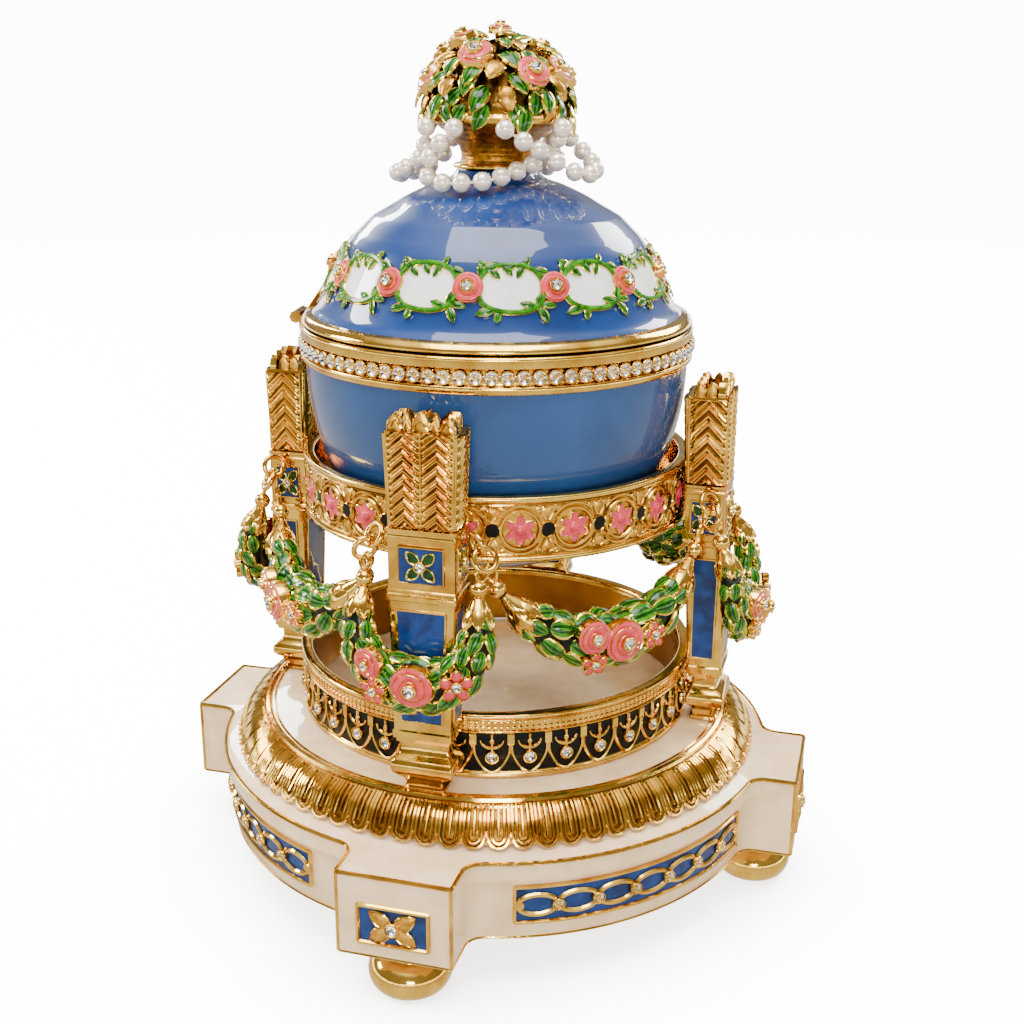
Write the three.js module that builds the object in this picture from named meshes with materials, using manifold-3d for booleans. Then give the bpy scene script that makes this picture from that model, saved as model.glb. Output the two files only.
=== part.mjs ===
// A jewelled egg on its four-post stand: millimetres, +Z up, standing on its feet at z = 0.
// Heights inside the object are given from the egg's parting line, where the lid meets the bowl.
import * as THREE from 'three';
import { mergeVertices } from 'three/addons/utils/BufferGeometryUtils.js';
import Module from 'manifold-3d';

const wasm = await Module();
wasm.setup();

// Driving dimensions, in millimetres and degrees
const seamHeight = 121.5; // parting line above the table
const fit = 0.3; // gap between two pieces that rest on each other
const postCount = 4;
const roundSides = 32; // sides of the large turned pieces

const egg = { radius: 40.1, bandRadius: 40.6, bandLow: -7, depth: 46, wall: 1.7, power: 2.15 };
const lid = { rimRadius: 39.6, wall: 1.7, neckRadius: 8.1, neckTop: 30.6 };
const lidRose = { count: 13, first: 276.8, radius: 2.7, height: 2.2, ring: 34.2, z: 10.9, tilt: 26 };
const cradle = { radius: 41.35, top: -26.8, bottom: -39.9, wall: 1.9, lip: 0.6, seat: 31.1 };
const gallery = { radius: 43.4, top: -70.7, bottom: -84.4, wall: 2.1, band: -74.1 };
const plinth = {
  top: -84.7, underside: -110.4, drumTop: -92.8, drumTopRadius: 61.05, drumRadius: 59.4,
  beadRadius: 51.4, leafCount: 76, leafTip: 57.9, leafValley: 56.7, leafEnd: -91.9,
};
const block = { reach: 69.2, width: 22.85, top: -93.1, cove: 4 };
const foot = { radius: 7.05, ring: 60, underside: -121.5 };
const basket = { radius: 14.1, top: 41.4, rimHeight: 1.5 };
const bouquet = { radius: 17.2, bottom: 41.7, top: 58.2, leafCount: 12 };
const pearl = { radius: 1.95, pitch: 4.1, thread: 0.55, turn: 15.5 };
const link = { radius: 2.2, wire: 0.5, upper: [47.9, 10.1, -33.4], lower: [48.5, 11.8, -36] };
const hinge = { polar: 190, ring: 42.3, pin: 0.5, barrel: 1.35, knuckle: 2.2, gap: 0.3 };

const radians = THREE.MathUtils.degToRad;

// Materials
function metal(color, roughness = 0.25) {
  return new THREE.MeshStandardMaterial({ color, roughness, metalness: 1 });
}
function enamel(color, roughness = 0.15) {
  return new THREE.MeshStandardMaterial({ color, roughness, metalness: 0 });
}
const gold = metal(0xd9a441);
const basketGold = metal(0x9a5f18, 0.4);
const cream = enamel(0xeadcc6);
const blue = enamel(0x3f6fae);
const deepBlue = enamel(0x2b4f86);
const green = enamel(0x2f7d25);
const pearlWhite = enamel(0xece5da, 0.3);

// Closed skin through rows of points, bottom row first: a row has 1 point, n points or 2n points
function skin(rows) {
  const starts = [];
  const positions = [];
  for (const row of rows) {
    starts.push(positions.length / 3);
    for (const point of row) positions.push(...point);
  }
  const index = [];
  for (let k = 0; k + 1 < rows.length; k += 1) {
    const steps = Math.max(rows[k].length, rows[k + 1].length);
    const at = (r, i) => starts[r] + (Math.floor((i * rows[r].length) / steps) % rows[r].length);
    for (let i = 0; i < steps; i += 1) {
      const [a, b, c, d] = [at(k, i), at(k, i + 1), at(k + 1, i + 1), at(k + 1, i)];
      if (a !== b) index.push(a, b, c);
      if (c !== d) index.push(a, c, d);
    }
  }
  const geometry = new THREE.BufferGeometry();
  geometry.setAttribute('position', new THREE.Float32BufferAttribute(positions, 3));
  geometry.setIndex(index);
  return geometry;
}

// Level ring of points; radiusAt(i) and heightAt(i) may change around it
function ring(count, radiusAt, heightAt) {
  return Array.from({ length: count }, (_, i) => {
    const a = (2 * Math.PI * i) / count;
    return [radiusAt(i) * Math.cos(a), radiusAt(i) * Math.sin(a), heightAt(i)];
  });
}

// Turned piece from a profile of [radius, height] points, outer side going up
function turned(profile, sides = roundSides) {
  const points = profile.map(([r, z]) => new THREE.Vector2(r, z));
  return new THREE.LatheGeometry(points, sides).rotateX(Math.PI / 2);
}

// Stack of rectangles [height, width along Y, depth along X, centre on X], bottom one first
function stacked(sections) {
  const rows = sections.map(([z, width, depth, x]) => [
    [x - depth / 2, -width / 2, z], [x + depth / 2, -width / 2, z],
    [x + depth / 2, width / 2, z], [x - depth / 2, width / 2, z],
  ]);
  const first = sections[0];
  const last = sections[sections.length - 1];
  return skin([[[first[3], 0, first[0]]], ...rows, [[last[3], 0, last[0]]]]);
}

// Tube along stations {at, outward, half, thick}: half across the path, thick along outward
function swelling(stations, sides) {
  const rows = stations.map((station, k) => {
    const before = stations[Math.max(k - 1, 0)].at;
    const after = stations[Math.min(k + 1, stations.length - 1)].at;
    const along = after.clone().sub(before).normalize();
    const across = new THREE.Vector3().crossVectors(along, station.outward).normalize();
    const out = new THREE.Vector3().crossVectors(across, along).normalize();
    return Array.from({ length: sides }, (_, i) => {
      const a = (2 * Math.PI * i) / sides;
      return station.at.clone()
        .addScaledVector(out, station.thick * Math.cos(a))
        .addScaledVector(across, station.half * Math.sin(a)).toArray();
    });
  });
  const ends = [stations[0], stations[stations.length - 1]].map((s) => [s.at.toArray()]);
  return skin([ends[0], ...rows, ends[1]]);
}

// Booleans
function solid(geometry) {
  const bare = geometry.clone();
  bare.deleteAttribute('normal');
  bare.deleteAttribute('uv');
  const merged = mergeVertices(bare, 1e-4);
  const vertProperties = Float32Array.from(merged.attributes.position.array);
  const triVerts = Uint32Array.from(merged.index.array);
  return new wasm.Manifold(new wasm.Mesh({ numProp: 3, vertProperties, triVerts }));
}
function geometryOf(body) {
  const mesh = body.getMesh();
  const geometry = new THREE.BufferGeometry();
  geometry.setAttribute('position', new THREE.Float32BufferAttribute(mesh.vertProperties, 3));
  geometry.setIndex(Array.from(mesh.triVerts));
  return geometry;
}
function join(...geometries) {
  return geometryOf(geometries.map(solid).reduce((whole, piece) => whole.add(piece)));
}

// Domed flower head facing +Z, its back a little below z = 0 so that it bites into what carries it
function flower(radius, height, sides = 6, root = 1) {
  return turned([[0, -root], [radius, -root], [radius * 0.9, height * 0.5], [0, height]], sides);
}

// Place a geometry made facing +Z at a point, facing along a direction
function facing(geometry, at, direction) {
  const turn = new THREE.Quaternion().setFromUnitVectors(new THREE.Vector3(0, 0, 1), direction.clone().normalize());
  return geometry.applyQuaternion(turn).translate(at.x, at.y, at.z);
}

// Point at a polar angle, radius and height
function polarPoint(degrees, radius, z) {
  return new THREE.Vector3(radius * Math.cos(radians(degrees)), radius * Math.sin(radians(degrees)), z);
}

// Plinth: round drum with a ring of gadroon leaves and four blocks with coved sides
function blockGeometry() {
  const half = block.width / 2;
  const drum = (plinth.drumTopRadius + plinth.drumRadius) / 2;
  const coveY = half + block.cove;
  const coveX = Math.sqrt((drum + block.cove) ** 2 - coveY ** 2);
  const touch = Math.atan2(coveY, coveX);
  const root = drum - 8;
  const outline = new THREE.Shape();
  outline.moveTo(root, -half);
  outline.lineTo((drum - 1) * Math.cos(touch), -(drum - 1) * Math.sin(touch));
  outline.absarc(coveX, -coveY, block.cove, Math.PI - touch, Math.PI / 2, true);
  outline.lineTo(block.reach, -half);
  outline.lineTo(block.reach, half);
  outline.absarc(coveX, coveY, block.cove, -Math.PI / 2, touch - Math.PI, true);
  outline.lineTo((drum - 1) * Math.cos(touch), (drum - 1) * Math.sin(touch));
  outline.lineTo(root, half);
  const depth = block.top - plinth.underside;
  const settings = { depth, bevelEnabled: false, curveSegments: 3 };
  return new THREE.ExtrudeGeometry(outline, settings).translate(0, 0, plinth.underside);
}
function plinthGeometry() {
  const n = plinth.leafCount;
  const crest = (high, low) => (i) => (i % 2 ? high : low);
  const drum = skin([
    [[0, 0, plinth.underside]],
    ring(n, () => plinth.drumRadius, () => plinth.underside),
    ring(n, () => plinth.drumTopRadius, () => plinth.drumTop),
    ring(2 * n, crest(plinth.leafTip, plinth.leafValley), () => plinth.leafEnd),
    ring(2 * n, crest(plinth.leafTip - 1.6, plinth.beadRadius + 2.6), crest(-88.6, -87.9)),
    ring(n, () => plinth.beadRadius, () => plinth.top),
    [[0, 0, plinth.top]],
  ]);
  const blocks = Array.from({ length: postCount }, (_, k) => blockGeometry().rotateZ((k * Math.PI) / 2));
  return join(drum, ...blocks);
}

// Bun foot under each block
function footGeometry() {
  const top = plinth.underside - fit;
  const r = foot.radius;
  return turned([
    [0, foot.underside], [r * 0.66, foot.underside], [r, foot.underside + 3.2], [r * 0.93, top - 3.4],
    [r * 0.55, top - 1.8], [r * 0.55, top], [0, top],
  ], 12);
}

// Gallery: low open ring with a rounded rim, standing on the plinth
function galleryGeometry() {
  const r = gallery.radius;
  const inner = r - gallery.wall;
  return turned([
    [inner, gallery.bottom], [r, gallery.bottom], [r - 0.5, gallery.band - 0.4], [r - 0.2, gallery.top - 0.7],
    [r - 1, gallery.top], [inner - 0.5, gallery.top], [inner - 0.5, gallery.top - 1], [inner, gallery.bottom],
  ]);
}

// Cradle ring: openwork band with a lip at both edges and a seat inside that carries the bowl
function cradleGeometry() {
  const { radius: r, top, bottom, lip, wall, seat } = cradle;
  const inner = r - lip - wall;
  const seatTop = bottom + 1.7;
  return turned([
    [seat + 0.4, bottom + 0.3], [r, bottom], [r, bottom + 0.9], [r - lip, bottom + 1.3],
    [r - lip, top - 1.3], [r, top - 0.9], [r, top], [inner + 0.3, top], [inner, seatTop + 0.3],
    [seat, seatTop], [seat + 0.4, bottom + 0.3],
  ]);
}

// Radius of the bowl's rounded outline at a depth below its band
function bowlRadius(radius, depth, below) {
  return radius * (1 - (below / depth) ** egg.power) ** (1 / egg.power);
}

// Lower half of the egg: thin bowl with a raised band below its rim
function bowlGeometry() {
  const outer = [1, 0.97, 0.87, 0.7, 0.5, 0.26].map((part) => [
    bowlRadius(egg.radius, egg.depth, part * egg.depth), egg.bandLow - part * egg.depth]);
  const innerDepth = egg.depth - egg.wall;
  const inner = [0.3, 0.66, 0.9, 1].map((part) => [
    bowlRadius(egg.radius - egg.wall, innerDepth, part * innerDepth), egg.bandLow - part * innerDepth]);
  const rim = [
    [egg.radius, egg.bandLow], [egg.bandRadius, egg.bandLow + 0.5], [egg.bandRadius - 0.2, -1.2],
    [lid.rimRadius, -fit / 2], [lid.rimRadius - 1.5, -fit / 2],
  ];
  return turned([...outer, ...rim, ...inner]);
}

// Upper half of the egg: domed lid with a short neck and its ring of roses
function lidGeometry() {
  const low = fit / 2;
  const shell = turned([
    [lid.rimRadius - 1.5, low], [lid.rimRadius, low], [36.9, 4], [31.4, 15], [28, 19], [24, 22.2],
    [17.5, 25.9], [10.6, 28.5], [lid.neckRadius, lid.neckTop], [0, lid.neckTop],
    [0, 26.8], [15, 24.9], [27.5, 16.9], [lid.rimRadius - 1.5, low],
  ]);
  const roses = Array.from({ length: lidRose.count }, (_, k) => {
    const polar = lidRose.first + (360 * k) / lidRose.count;
    const direction = polarPoint(polar, Math.cos(radians(lidRose.tilt)), Math.sin(radians(lidRose.tilt)));
    return facing(flower(lidRose.radius, lidRose.height, 6, 0.8), polarPoint(polar, lidRose.ring, lidRose.z), direction);
  });
  return join(shell, ...roses);
}

// Hinge at the back left of the seam: two knuckles and the pin on the bowl, the middle knuckle on the lid
function barrel(radius, from, to) {
  return new THREE.CylinderGeometry(radius, radius, to - from, 8).translate(0, (from + to) / 2, 0);
}
function strap(width, reach, bottom, top, shift) {
  return new THREE.BoxGeometry(reach, width, top - bottom).translate(-reach / 2 - shift, 0, (bottom + top) / 2);
}
function hingeBowlGeometry() {
  const half = hinge.knuckle / 2;
  const end = half + hinge.gap + hinge.knuckle;
  const upper = half + hinge.gap;
  const straps = [-1, 1].map((side) => strap(hinge.knuckle, 1, -2.6, -0.7, 0.7)
    .translate(0, side * (upper + half), 0));
  return join(barrel(hinge.pin, -end, end), barrel(hinge.barrel, -end, -upper), barrel(hinge.barrel, upper, end), ...straps);
}
function hingeLidGeometry() {
  const half = hinge.knuckle / 2;
  const knuckle = solid(barrel(hinge.barrel, -half, half));
  const leaf = stacked([
    [0.5, 2.2, 1.5, -1.4], [1.9, 3.4, 1.2, -2.9], [5, 4.8, 1, -5.1], [8.2, 0.8, 0.8, -6.8],
  ]);
  const bore = solid(barrel(hinge.pin + hinge.gap, -half - 1, half + 1));
  return geometryOf(knuckle.add(solid(leaf)).subtract(bore));
}

// Post: foot, fluted bulge, panelled shaft, block, and a quiver of arrows on top
const postSections = [
  [plinth.top + fit, 7.7, 5.5, 48], [-83.2, 7.9, 5.7, 48], [-82.3, 10.4, 7.2, 48.2], [-80.2, 12.5, 8.1, 48.2],
  [-78.4, 12.3, 8, 48.2], [-76, 9.8, 4.9, 47.8], [-74, 9.6, 4.8, 47.8], [-73.4, 11.5, 7.4, 47.8],
  [-71, 11.6, 7.5, 47.7], [-45, 13.1, 7.9, 46.8], [-44.6, 13.9, 8.6, 46.6], [-43.6, 13.9, 8.8, 46.4],
  [-42.8, 13.3, 8.6, 46.3], [-32.8, 13.3, 8.6, 46.3], [-32, 13.9, 8.9, 46.3], [-30.9, 13.9, 8.9, 46.3],
  [-30.4, 12.4, 7.6, 46.3], [-12.6, 13.7, 8.5, 45.8],
];
function arrowTip(width, depth, x, y, bottom, top) {
  const cone = new THREE.ConeGeometry(Math.SQRT1_2, 1, 4).rotateY(Math.PI / 4).rotateX(Math.PI / 2);
  return cone.translate(0, 0, 0.5).scale(depth, width, top - bottom).translate(x, y, bottom);
}
function postGeometry() {
  const front = [-2, -1, 0, 1, 2].map((k) => arrowTip(2.4, 2.6, 48.4, k * 2.65, -12.9, -8.3 + (k % 2 ? 0.9 : 0)));
  const back = [-1, 0, 1].map((k) => arrowTip(3.8, 4, 44.3, k * 4.1, -12.9, -7.5));
  const eyes = [-1, 1].map((side) => new THREE.BoxGeometry(1.6, 1.4, 1.2).translate(47, side * 7.1, -32.2));
  return join(stacked(postSections), ...front, ...back, ...eyes);
}

// Two rings, one through the other, on the left or right side of a post that stands on +X
function linkGeometry(side, which) {
  const upper = new THREE.Vector3(link.upper[0], side * link.upper[1], link.upper[2]);
  const lower = new THREE.Vector3(link.lower[0], side * link.lower[1], link.lower[2]);
  const down = lower.clone().sub(upper).normalize();
  const a = new THREE.Vector3(1, 0, 0).addScaledVector(down, -down.x).normalize();
  const b = new THREE.Vector3().crossVectors(down, a).multiplyScalar(side);
  const axis = which ? a.clone().sub(b) : a.clone().add(b);
  const torus = new THREE.TorusGeometry(link.radius, link.wire, 3, 7);
  return facing(torus, which ? lower : upper, axis);
}

// Swag between two posts, made around the +X direction: ball and cap, leaf bundle, cap and ball
const swagHalf = [
  // degrees from the middle, height, half width, radius of the middle line
  [0, -55.6, 4.9, 45.6], [6, -55.3, 5.2, 45.6], [12, -53.7, 4.6, 46], [17.5, -51.5, 4.1, 46.4],
  [23.2, -47.9, 2.9, 46.9], [26.4, -45.2, 2.2, 47.1], [28, -43.6, 1, 47.2], [29, -42.6, 1.7, 47.2],
  [30.3, -41, 0.7, 47.2],
];
function swagGeometry() {
  const stations = [...swagHalf.slice(1).map(([a, ...rest]) => [-a, ...rest]).reverse(), ...swagHalf]
    .map(([degrees, z, half, radius]) => ({
      at: polarPoint(degrees, radius, z), outward: polarPoint(degrees, 1, 0), half, thick: half * 0.8 }));
  const roses = [[-4.6, 3.1, -54.4, 2.9], [4.2, 4, -55.4, 3.3], [11.2, 2.7, -54.6, 2.6], [-6.6, 2.5, -59, 2.4]]
    .map(([degrees, radius, z, height]) => facing(flower(radius, height * 0.7), polarPoint(degrees, 49.1, z),
      polarPoint(degrees, 1, 0)));
  return join(swelling(stations, 5), ...roses);
}

// Wreath hanging in front of a post that stands on +X: a U of leaves with roses at the bottom
const wreathHalf = [
  // sideways, height, half width, half thickness, distance out
  [0, -59.9, 4.7, 2.8, 54.8], [5.8, -58.6, 4.6, 2.8, 54.7], [10.2, -54.6, 3.9, 2.8, 54.2],
  [11.8, -49.4, 3.3, 2.8, 53.3], [11.5, -44.6, 2.7, 2.3, 52], [10.9, -42, 1.9, 1.8, 51.2],
  [10.6, -40.4, 0.8, 0.8, 50.6],
];
function wreathGeometry() {
  const outward = new THREE.Vector3(1, 0, 0);
  const stations = [...wreathHalf.slice(1).map(([y, ...rest]) => [-y, ...rest]).reverse(), ...wreathHalf]
    .map(([y, z, half, thick, x]) => ({ at: new THREE.Vector3(x, y, z), outward, half, thick }));
  const roses = [[-2, 3.8, -60.4, 1.8], [-10.2, 2.9, -55.8, 1.6], [-8.4, 2.7, -61.6, 1.2], [7.6, 2.9, -59.4, 1.2]]
    .map(([y, radius, z, height]) => facing(flower(radius, height), new THREE.Vector3(57, y, z), outward));
  return join(swelling(stations, 5), ...roses);
}

// Basket on the lid's neck, and the bouquet that fills it
function basketGeometry() {
  const low = lid.neckTop + fit;
  const rim = basket.top - basket.rimHeight;
  return turned([
    [0, low], [8.1, low], [7.4, low + 2.4], [7.6, low + 4.2], [8.9, low + 6.2], [basket.radius - 1.4, rim - 0.6],
    [basket.radius, rim], [basket.radius, basket.top], [0, basket.top],
  ], 14);
}
function bouquetGeometry() {
  const n = bouquet.leafCount;
  const tip = (low, high) => (i) => (i % 2 ? high : low);
  const leaves = skin([
    [[0, 0, bouquet.bottom]],
    ring(n, () => 12, () => bouquet.bottom),
    ring(2 * n, tip(bouquet.radius, 13.6), tip(bouquet.bottom + 0.4, bouquet.bottom + 1)),
    ring(2 * n, tip(16.4, 13.4), tip(44, 45.5)),
    ring(n, () => 13.2, () => 48.6),
    ring(n, () => 9.4, () => 53.4),
    ring(n, () => 4, () => 56.4),
    [[0, 0, bouquet.top - 1]],
  ]);
  const heads = [
    // degrees, rise above level, radius of the head
    [268, 50, 3.1], [297, 31, 3.1], [328, 30, 2.7], [5, 34, 2.7], [218, 27, 2.7], [250, 66, 2.6],
    [40, 44, 2.9], [90, 32, 2.9], [130, 52, 2.9], [170, 34, 2.9], [0, 90, 2.6],
  ];
  const roses = heads.map(([polar, rise, radius]) => {
    const out = polarPoint(polar, Math.cos(radians(rise)), Math.sin(radians(rise)));
    const at = new THREE.Vector3(out.x * 13.2, out.y * 13.2, 43.6 + out.z * 13.2);
    return facing(flower(radius, 1.6, 6), at, out);
  });
  return join(leaves, ...roses);
}

// Pearl strings, each a row of beads on a thread: route points are [right, forward, height],
// seen from the direction that lies pearl.turn degrees past the front post
const pearlRoutes = {
  front: [[-8.2, 14.4, 39.1], [-11.3, 13.2, 35.8], [-13.6, 10.8, 32.2], [-13.2, 11.6, 29.4],
    [-9.9, 14.4, 28.8], [-6, 15.8, 29], [-1.8, 15.9, 29.4], [2, 13.6, 30.4], [5, 10.8, 31.4],
    [8.3, 8.2, 32.9], [11.5, 6.4, 36], [12.6, 10.7, 39.1]],
  right: [[1.6, 16.6, 39], [5.4, 15.6, 36.6], [9, 13, 34.6], [12.6, 12.4, 32.2], [16, 11, 30.6],
    [19, 7.8, 30.3], [19.7, 3.9, 31], [18.8, 0, 32.6], [16.6, -3.6, 34.9], [14.6, -5.4, 37],
    [14.4, -8.2, 39.1]],
  left: [[-13.8, 9.2, 39.1], [-14.2, 7.6, 35.6], [-15.4, 5.4, 33], [-18.2, 3.2, 31], [-20.3, -0.2, 29.8],
    [-19.6, -4.4, 29.3], [-16.6, -7.6, 29.8], [-12.8, -9.4, 31.6], [-10, -11.2, 35], [-8.5, -14.2, 39.1]],
  back: [[-3.2, -16.4, 39.1], [-1.4, -15.4, 35.4], [1.2, -15, 31.8], [5, -15.4, 29.8], [9.4, -13.4, 29.8],
    [12.2, -10.6, 31.8], [11.4, -11.6, 35.4], [9.5, -13.7, 39.1]],
};
function pearlGeometry(route) {
  const turn = radians(pearl.turn);
  const curve = new THREE.CatmullRomCurve3(route.map(([right, forward, z]) => new THREE.Vector3(
    right * Math.cos(turn) + forward * Math.sin(turn), right * Math.sin(turn) - forward * Math.cos(turn), z)));
  const length = curve.getLength();
  const gaps = Math.round(length / pearl.pitch);
  const step = length / gaps;
  const stations = [];
  const add = (distance, half) => {
    const at = curve.getPointAt(Math.min(Math.max(distance / length, 0), 1));
    const past = distance - Math.min(Math.max(distance, 0), length);
    at.addScaledVector(curve.getTangentAt(distance < length / 2 ? 0 : 1), past);
    stations.push({ at, outward: new THREE.Vector3(at.x, at.y, 12), half, thick: half });
  };
  add(-0.98 * pearl.radius, 0.5);
  for (let k = 0; k <= gaps; k += 1) {
    add(k * step - 0.42 * pearl.radius, 0.95 * pearl.radius);
    add(k * step + 0.42 * pearl.radius, 0.95 * pearl.radius);
    if (k < gaps) add((k + 0.5) * step, pearl.thread);
  }
  add(length + 0.98 * pearl.radius, 0.5);
  return swelling(stations, 5);
}

// Assembly
const jewelledEgg = new THREE.Group();
jewelledEgg.position.z = seamHeight;
function place(name, geometry, material, turn = 0) {
  const mesh = new THREE.Mesh(geometry, material);
  mesh.name = name;
  mesh.rotation.z = turn;
  jewelledEgg.add(mesh);
}
const quarter = Math.PI / 2;
const corners = ['right', 'back', 'left', 'front'];

place('plinth', plinthGeometry(), cream);
place('gallery', galleryGeometry(), gold);
place('cradle_ring', cradleGeometry(), gold);
place('egg_bowl', bowlGeometry(), blue);
place('egg_lid', lidGeometry(), blue);
corners.forEach((side, k) => {
  place(`foot_${side}`, footGeometry().translate(foot.ring, 0, 0), gold, k * quarter);
  place(`post_${side}`, postGeometry(), deepBlue, k * quarter);
  place(`wreath_${side}`, wreathGeometry(), green, k * quarter);
  [1, -1].forEach((way) => [0, 1].forEach((which) => {
    const name = `ring_${side}_${way > 0 ? 'a' : 'b'}_${which ? 'lower' : 'upper'}`;
    place(name, linkGeometry(way, which), gold, k * quarter);
  }));
  place(`swag_${side}_to_${corners[(k + 1) % postCount]}`, swagGeometry(), green, (k + 0.5) * quarter);
});
const hingeBowl = hingeBowlGeometry().translate(hinge.ring, 0, 0);
const hingeLid = hingeLidGeometry().translate(hinge.ring, 0, 0);
place('hinge_bowl_half', hingeBowl, gold, radians(hinge.polar));
place('hinge_lid_half', hingeLid, gold, radians(hinge.polar));
place('flower_basket', basketGeometry(), basketGold);
place('bouquet', bouquetGeometry(), green);
Object.entries(pearlRoutes).forEach(([side, route]) => place(`pearls_${side}`, pearlGeometry(route), pearlWhite));

export default jewelledEgg;
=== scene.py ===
# %% [markdown]
# # A jewelled egg on its stand
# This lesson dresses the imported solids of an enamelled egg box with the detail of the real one:
# cast and gold-plated metal, glossy enamel laid between raised gold lines, small crystals and pearls.
# The solids are loaded first and never change. Each one is then replaced by a finer piece in the same place.

# %% Load the frame
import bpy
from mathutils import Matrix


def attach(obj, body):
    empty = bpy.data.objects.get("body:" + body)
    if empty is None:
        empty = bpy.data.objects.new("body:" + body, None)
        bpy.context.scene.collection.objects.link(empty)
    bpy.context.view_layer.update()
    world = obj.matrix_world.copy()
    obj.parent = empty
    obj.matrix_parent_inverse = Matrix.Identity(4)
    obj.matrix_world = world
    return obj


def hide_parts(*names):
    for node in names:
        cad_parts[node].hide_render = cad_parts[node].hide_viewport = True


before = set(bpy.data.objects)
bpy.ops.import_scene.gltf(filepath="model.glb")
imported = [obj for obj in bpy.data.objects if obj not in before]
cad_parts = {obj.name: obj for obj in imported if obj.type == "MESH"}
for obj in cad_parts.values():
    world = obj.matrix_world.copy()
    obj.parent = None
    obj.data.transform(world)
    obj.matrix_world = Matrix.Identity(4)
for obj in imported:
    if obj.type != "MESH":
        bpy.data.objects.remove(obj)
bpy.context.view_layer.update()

# %% [markdown]
# ## The camera
# The photo was taken from slightly above, close to the egg, so near parts look larger than far ones.
# The round edges of the seam, the rings and the plinth give the distance, the height and the lens.

# %% Place the camera
import bmesh
import bpy
import numpy as np
from math import atan2, cos, pi, radians, sin, sqrt, tan
from mathutils import Matrix
from mathutils import Vector

MM = 0.001
SEAM = 0.1215
distance = 0.289
eye_over_seam = 0.0497
focal_pixels = 1381.0
picture_pixels = 1024.0
round_angle = radians(16.0)
pan = radians(-0.68)
down = radians(17.73)
roll = radians(0.36)
eye = Vector((distance * sin(round_angle), -distance * cos(round_angle), SEAM + eye_over_seam))
heading = round_angle + pan
forward = Vector((-sin(heading) * cos(down), cos(heading) * cos(down), -sin(down)))
level = Vector((cos(heading), sin(heading), 0.0))
upward = level.cross(forward)
right = cos(roll) * level + sin(roll) * upward
above = cos(roll) * upward - sin(roll) * level
camera = bpy.data.objects.new("camera", bpy.data.cameras.new("camera"))
camera.data.sensor_width = 36.0
camera.data.lens = camera.data.sensor_width * focal_pixels / picture_pixels
camera.data.clip_start = 0.01
camera.matrix_world = Matrix.Translation(eye) @ Matrix((right, above, -forward)).transposed().to_4x4()
bpy.context.collection.objects.link(camera)
bpy.context.scene.camera = camera
print("camera at", tuple(round(v, 4) for v in eye), "lens", round(camera.data.lens, 2), "mm")

# %% [markdown]
# ## Colours and nodes
# Colours are written as sRGB hex values, as a paint chart gives them, and one function makes them linear.
# One more function adds a node with its settings and its links, so that each finish below reads as a recipe.

# %% Colour and node helpers
def linear(hex_colour):
    parts = [int(hex_colour[i:i + 2], 16) / 255 for i in (1, 3, 5)]
    return [p / 12.92 if p <= 0.04045 else ((p + 0.055) / 1.055) ** 2.4 for p in parts] + [1.0]


def add(tree, kind, settings=None, inputs=None):
    made = tree.nodes.new("ShaderNode" + kind)
    for name, value in (settings or {}).items():
        setattr(made, name, value)
    for name, value in (inputs or {}).items():
        if isinstance(value, bpy.types.NodeSocket):
            tree.links.new(value, made.inputs[name])
        else:
            made.inputs[name].default_value = value
    return made


# %% [markdown]
# ## The studio
# A pale floor, a nearly white room and big soft lamps, as in a product photo.
# Polished gold only looks like gold when it mirrors both bright and dark things,
# so the room has a white line at the horizon, pale ends above and below, and dark bands between them.

# %% Paint the room
room = bpy.data.worlds.new("studio_room")
bpy.context.scene.world = room
room.use_nodes = True
sky = room.node_tree
sky.nodes.clear()
direction = add(sky, "TexCoord")
height = add(sky, "SeparateXYZ", inputs={"Vector": direction.outputs["Generated"]})
level_fac = add(sky, "MapRange", inputs={"Value": height.outputs["Z"], "From Min": -1.0, "From Max": 1.0})
walls = add(sky, "ValToRGB", inputs={"Fac": level_fac.outputs["Result"]})
stops = walls.color_ramp.elements
stops[0].position = 0.0
stops[0].color = linear("#8A857D")
stops[1].position = 1.0
stops[1].color = linear("#A8A6A4")
for place, tone in ((0.30, "#8A857D"), (0.42, "#7A756C"), (0.458, "#2A2622"), (0.475, "#FFFFFF"),
                    (0.525, "#FFFFFF"), (0.55, "#2C2926"), (0.62, "#524E49"), (0.84, "#524E49"),
                    (0.93, "#A8A6A4")):
    stop = stops.new(place)
    stop.color = linear(tone)
glow = add(sky, "Background", inputs={"Color": walls.outputs["Color"], "Strength": 5.0})
add(sky, "OutputWorld", inputs={"Surface": glow.outputs["Background"]})

# %% Hang the lamps
def softbox(name, place, size, power):
    lamp = bpy.data.lights.new(name, "AREA")
    lamp.shape = "RECTANGLE"
    lamp.size = size[0]
    lamp.size_y = size[1]
    lamp.energy = power
    holder = bpy.data.objects.new(name, lamp)
    holder.location = place
    aim = Vector((0.0, 0.0, 0.1)) - Vector(place)
    holder.rotation_euler = aim.to_track_quat("-Z", "Y").to_euler()
    bpy.context.collection.objects.link(holder)


softbox("window_left", (-1.0, -0.05, 0.57), (0.28, 0.34), 12.0)
softbox("window_back_left", (-0.70, 0.75, 0.53), (0.22, 0.34), 8.0)
softbox("window_back_right", (0.48, 0.83, 0.68), (0.45, 0.4), 14.0)
softbox("top", (0.0, -0.25, 1.25), (0.9, 0.9), 28.0)
softbox("front_fill", (0.35, -1.15, 0.35), (0.3, 0.3), 8.0)

# %% [markdown]
# ## Enamel
# Enamel is coloured glass or lacquer in thin layers over metal: deep colour under a hard, clear gloss.
# The colour drifts a little where the layer is thicker, and the surface swells gently beside its gold edges.
# A coat on the Principled shader gives the gloss, and low noise gives the drift and the swell.
# Every finish in the scene starts from one mottled base, in which a cloud of noise mixes two near colours.

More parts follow.
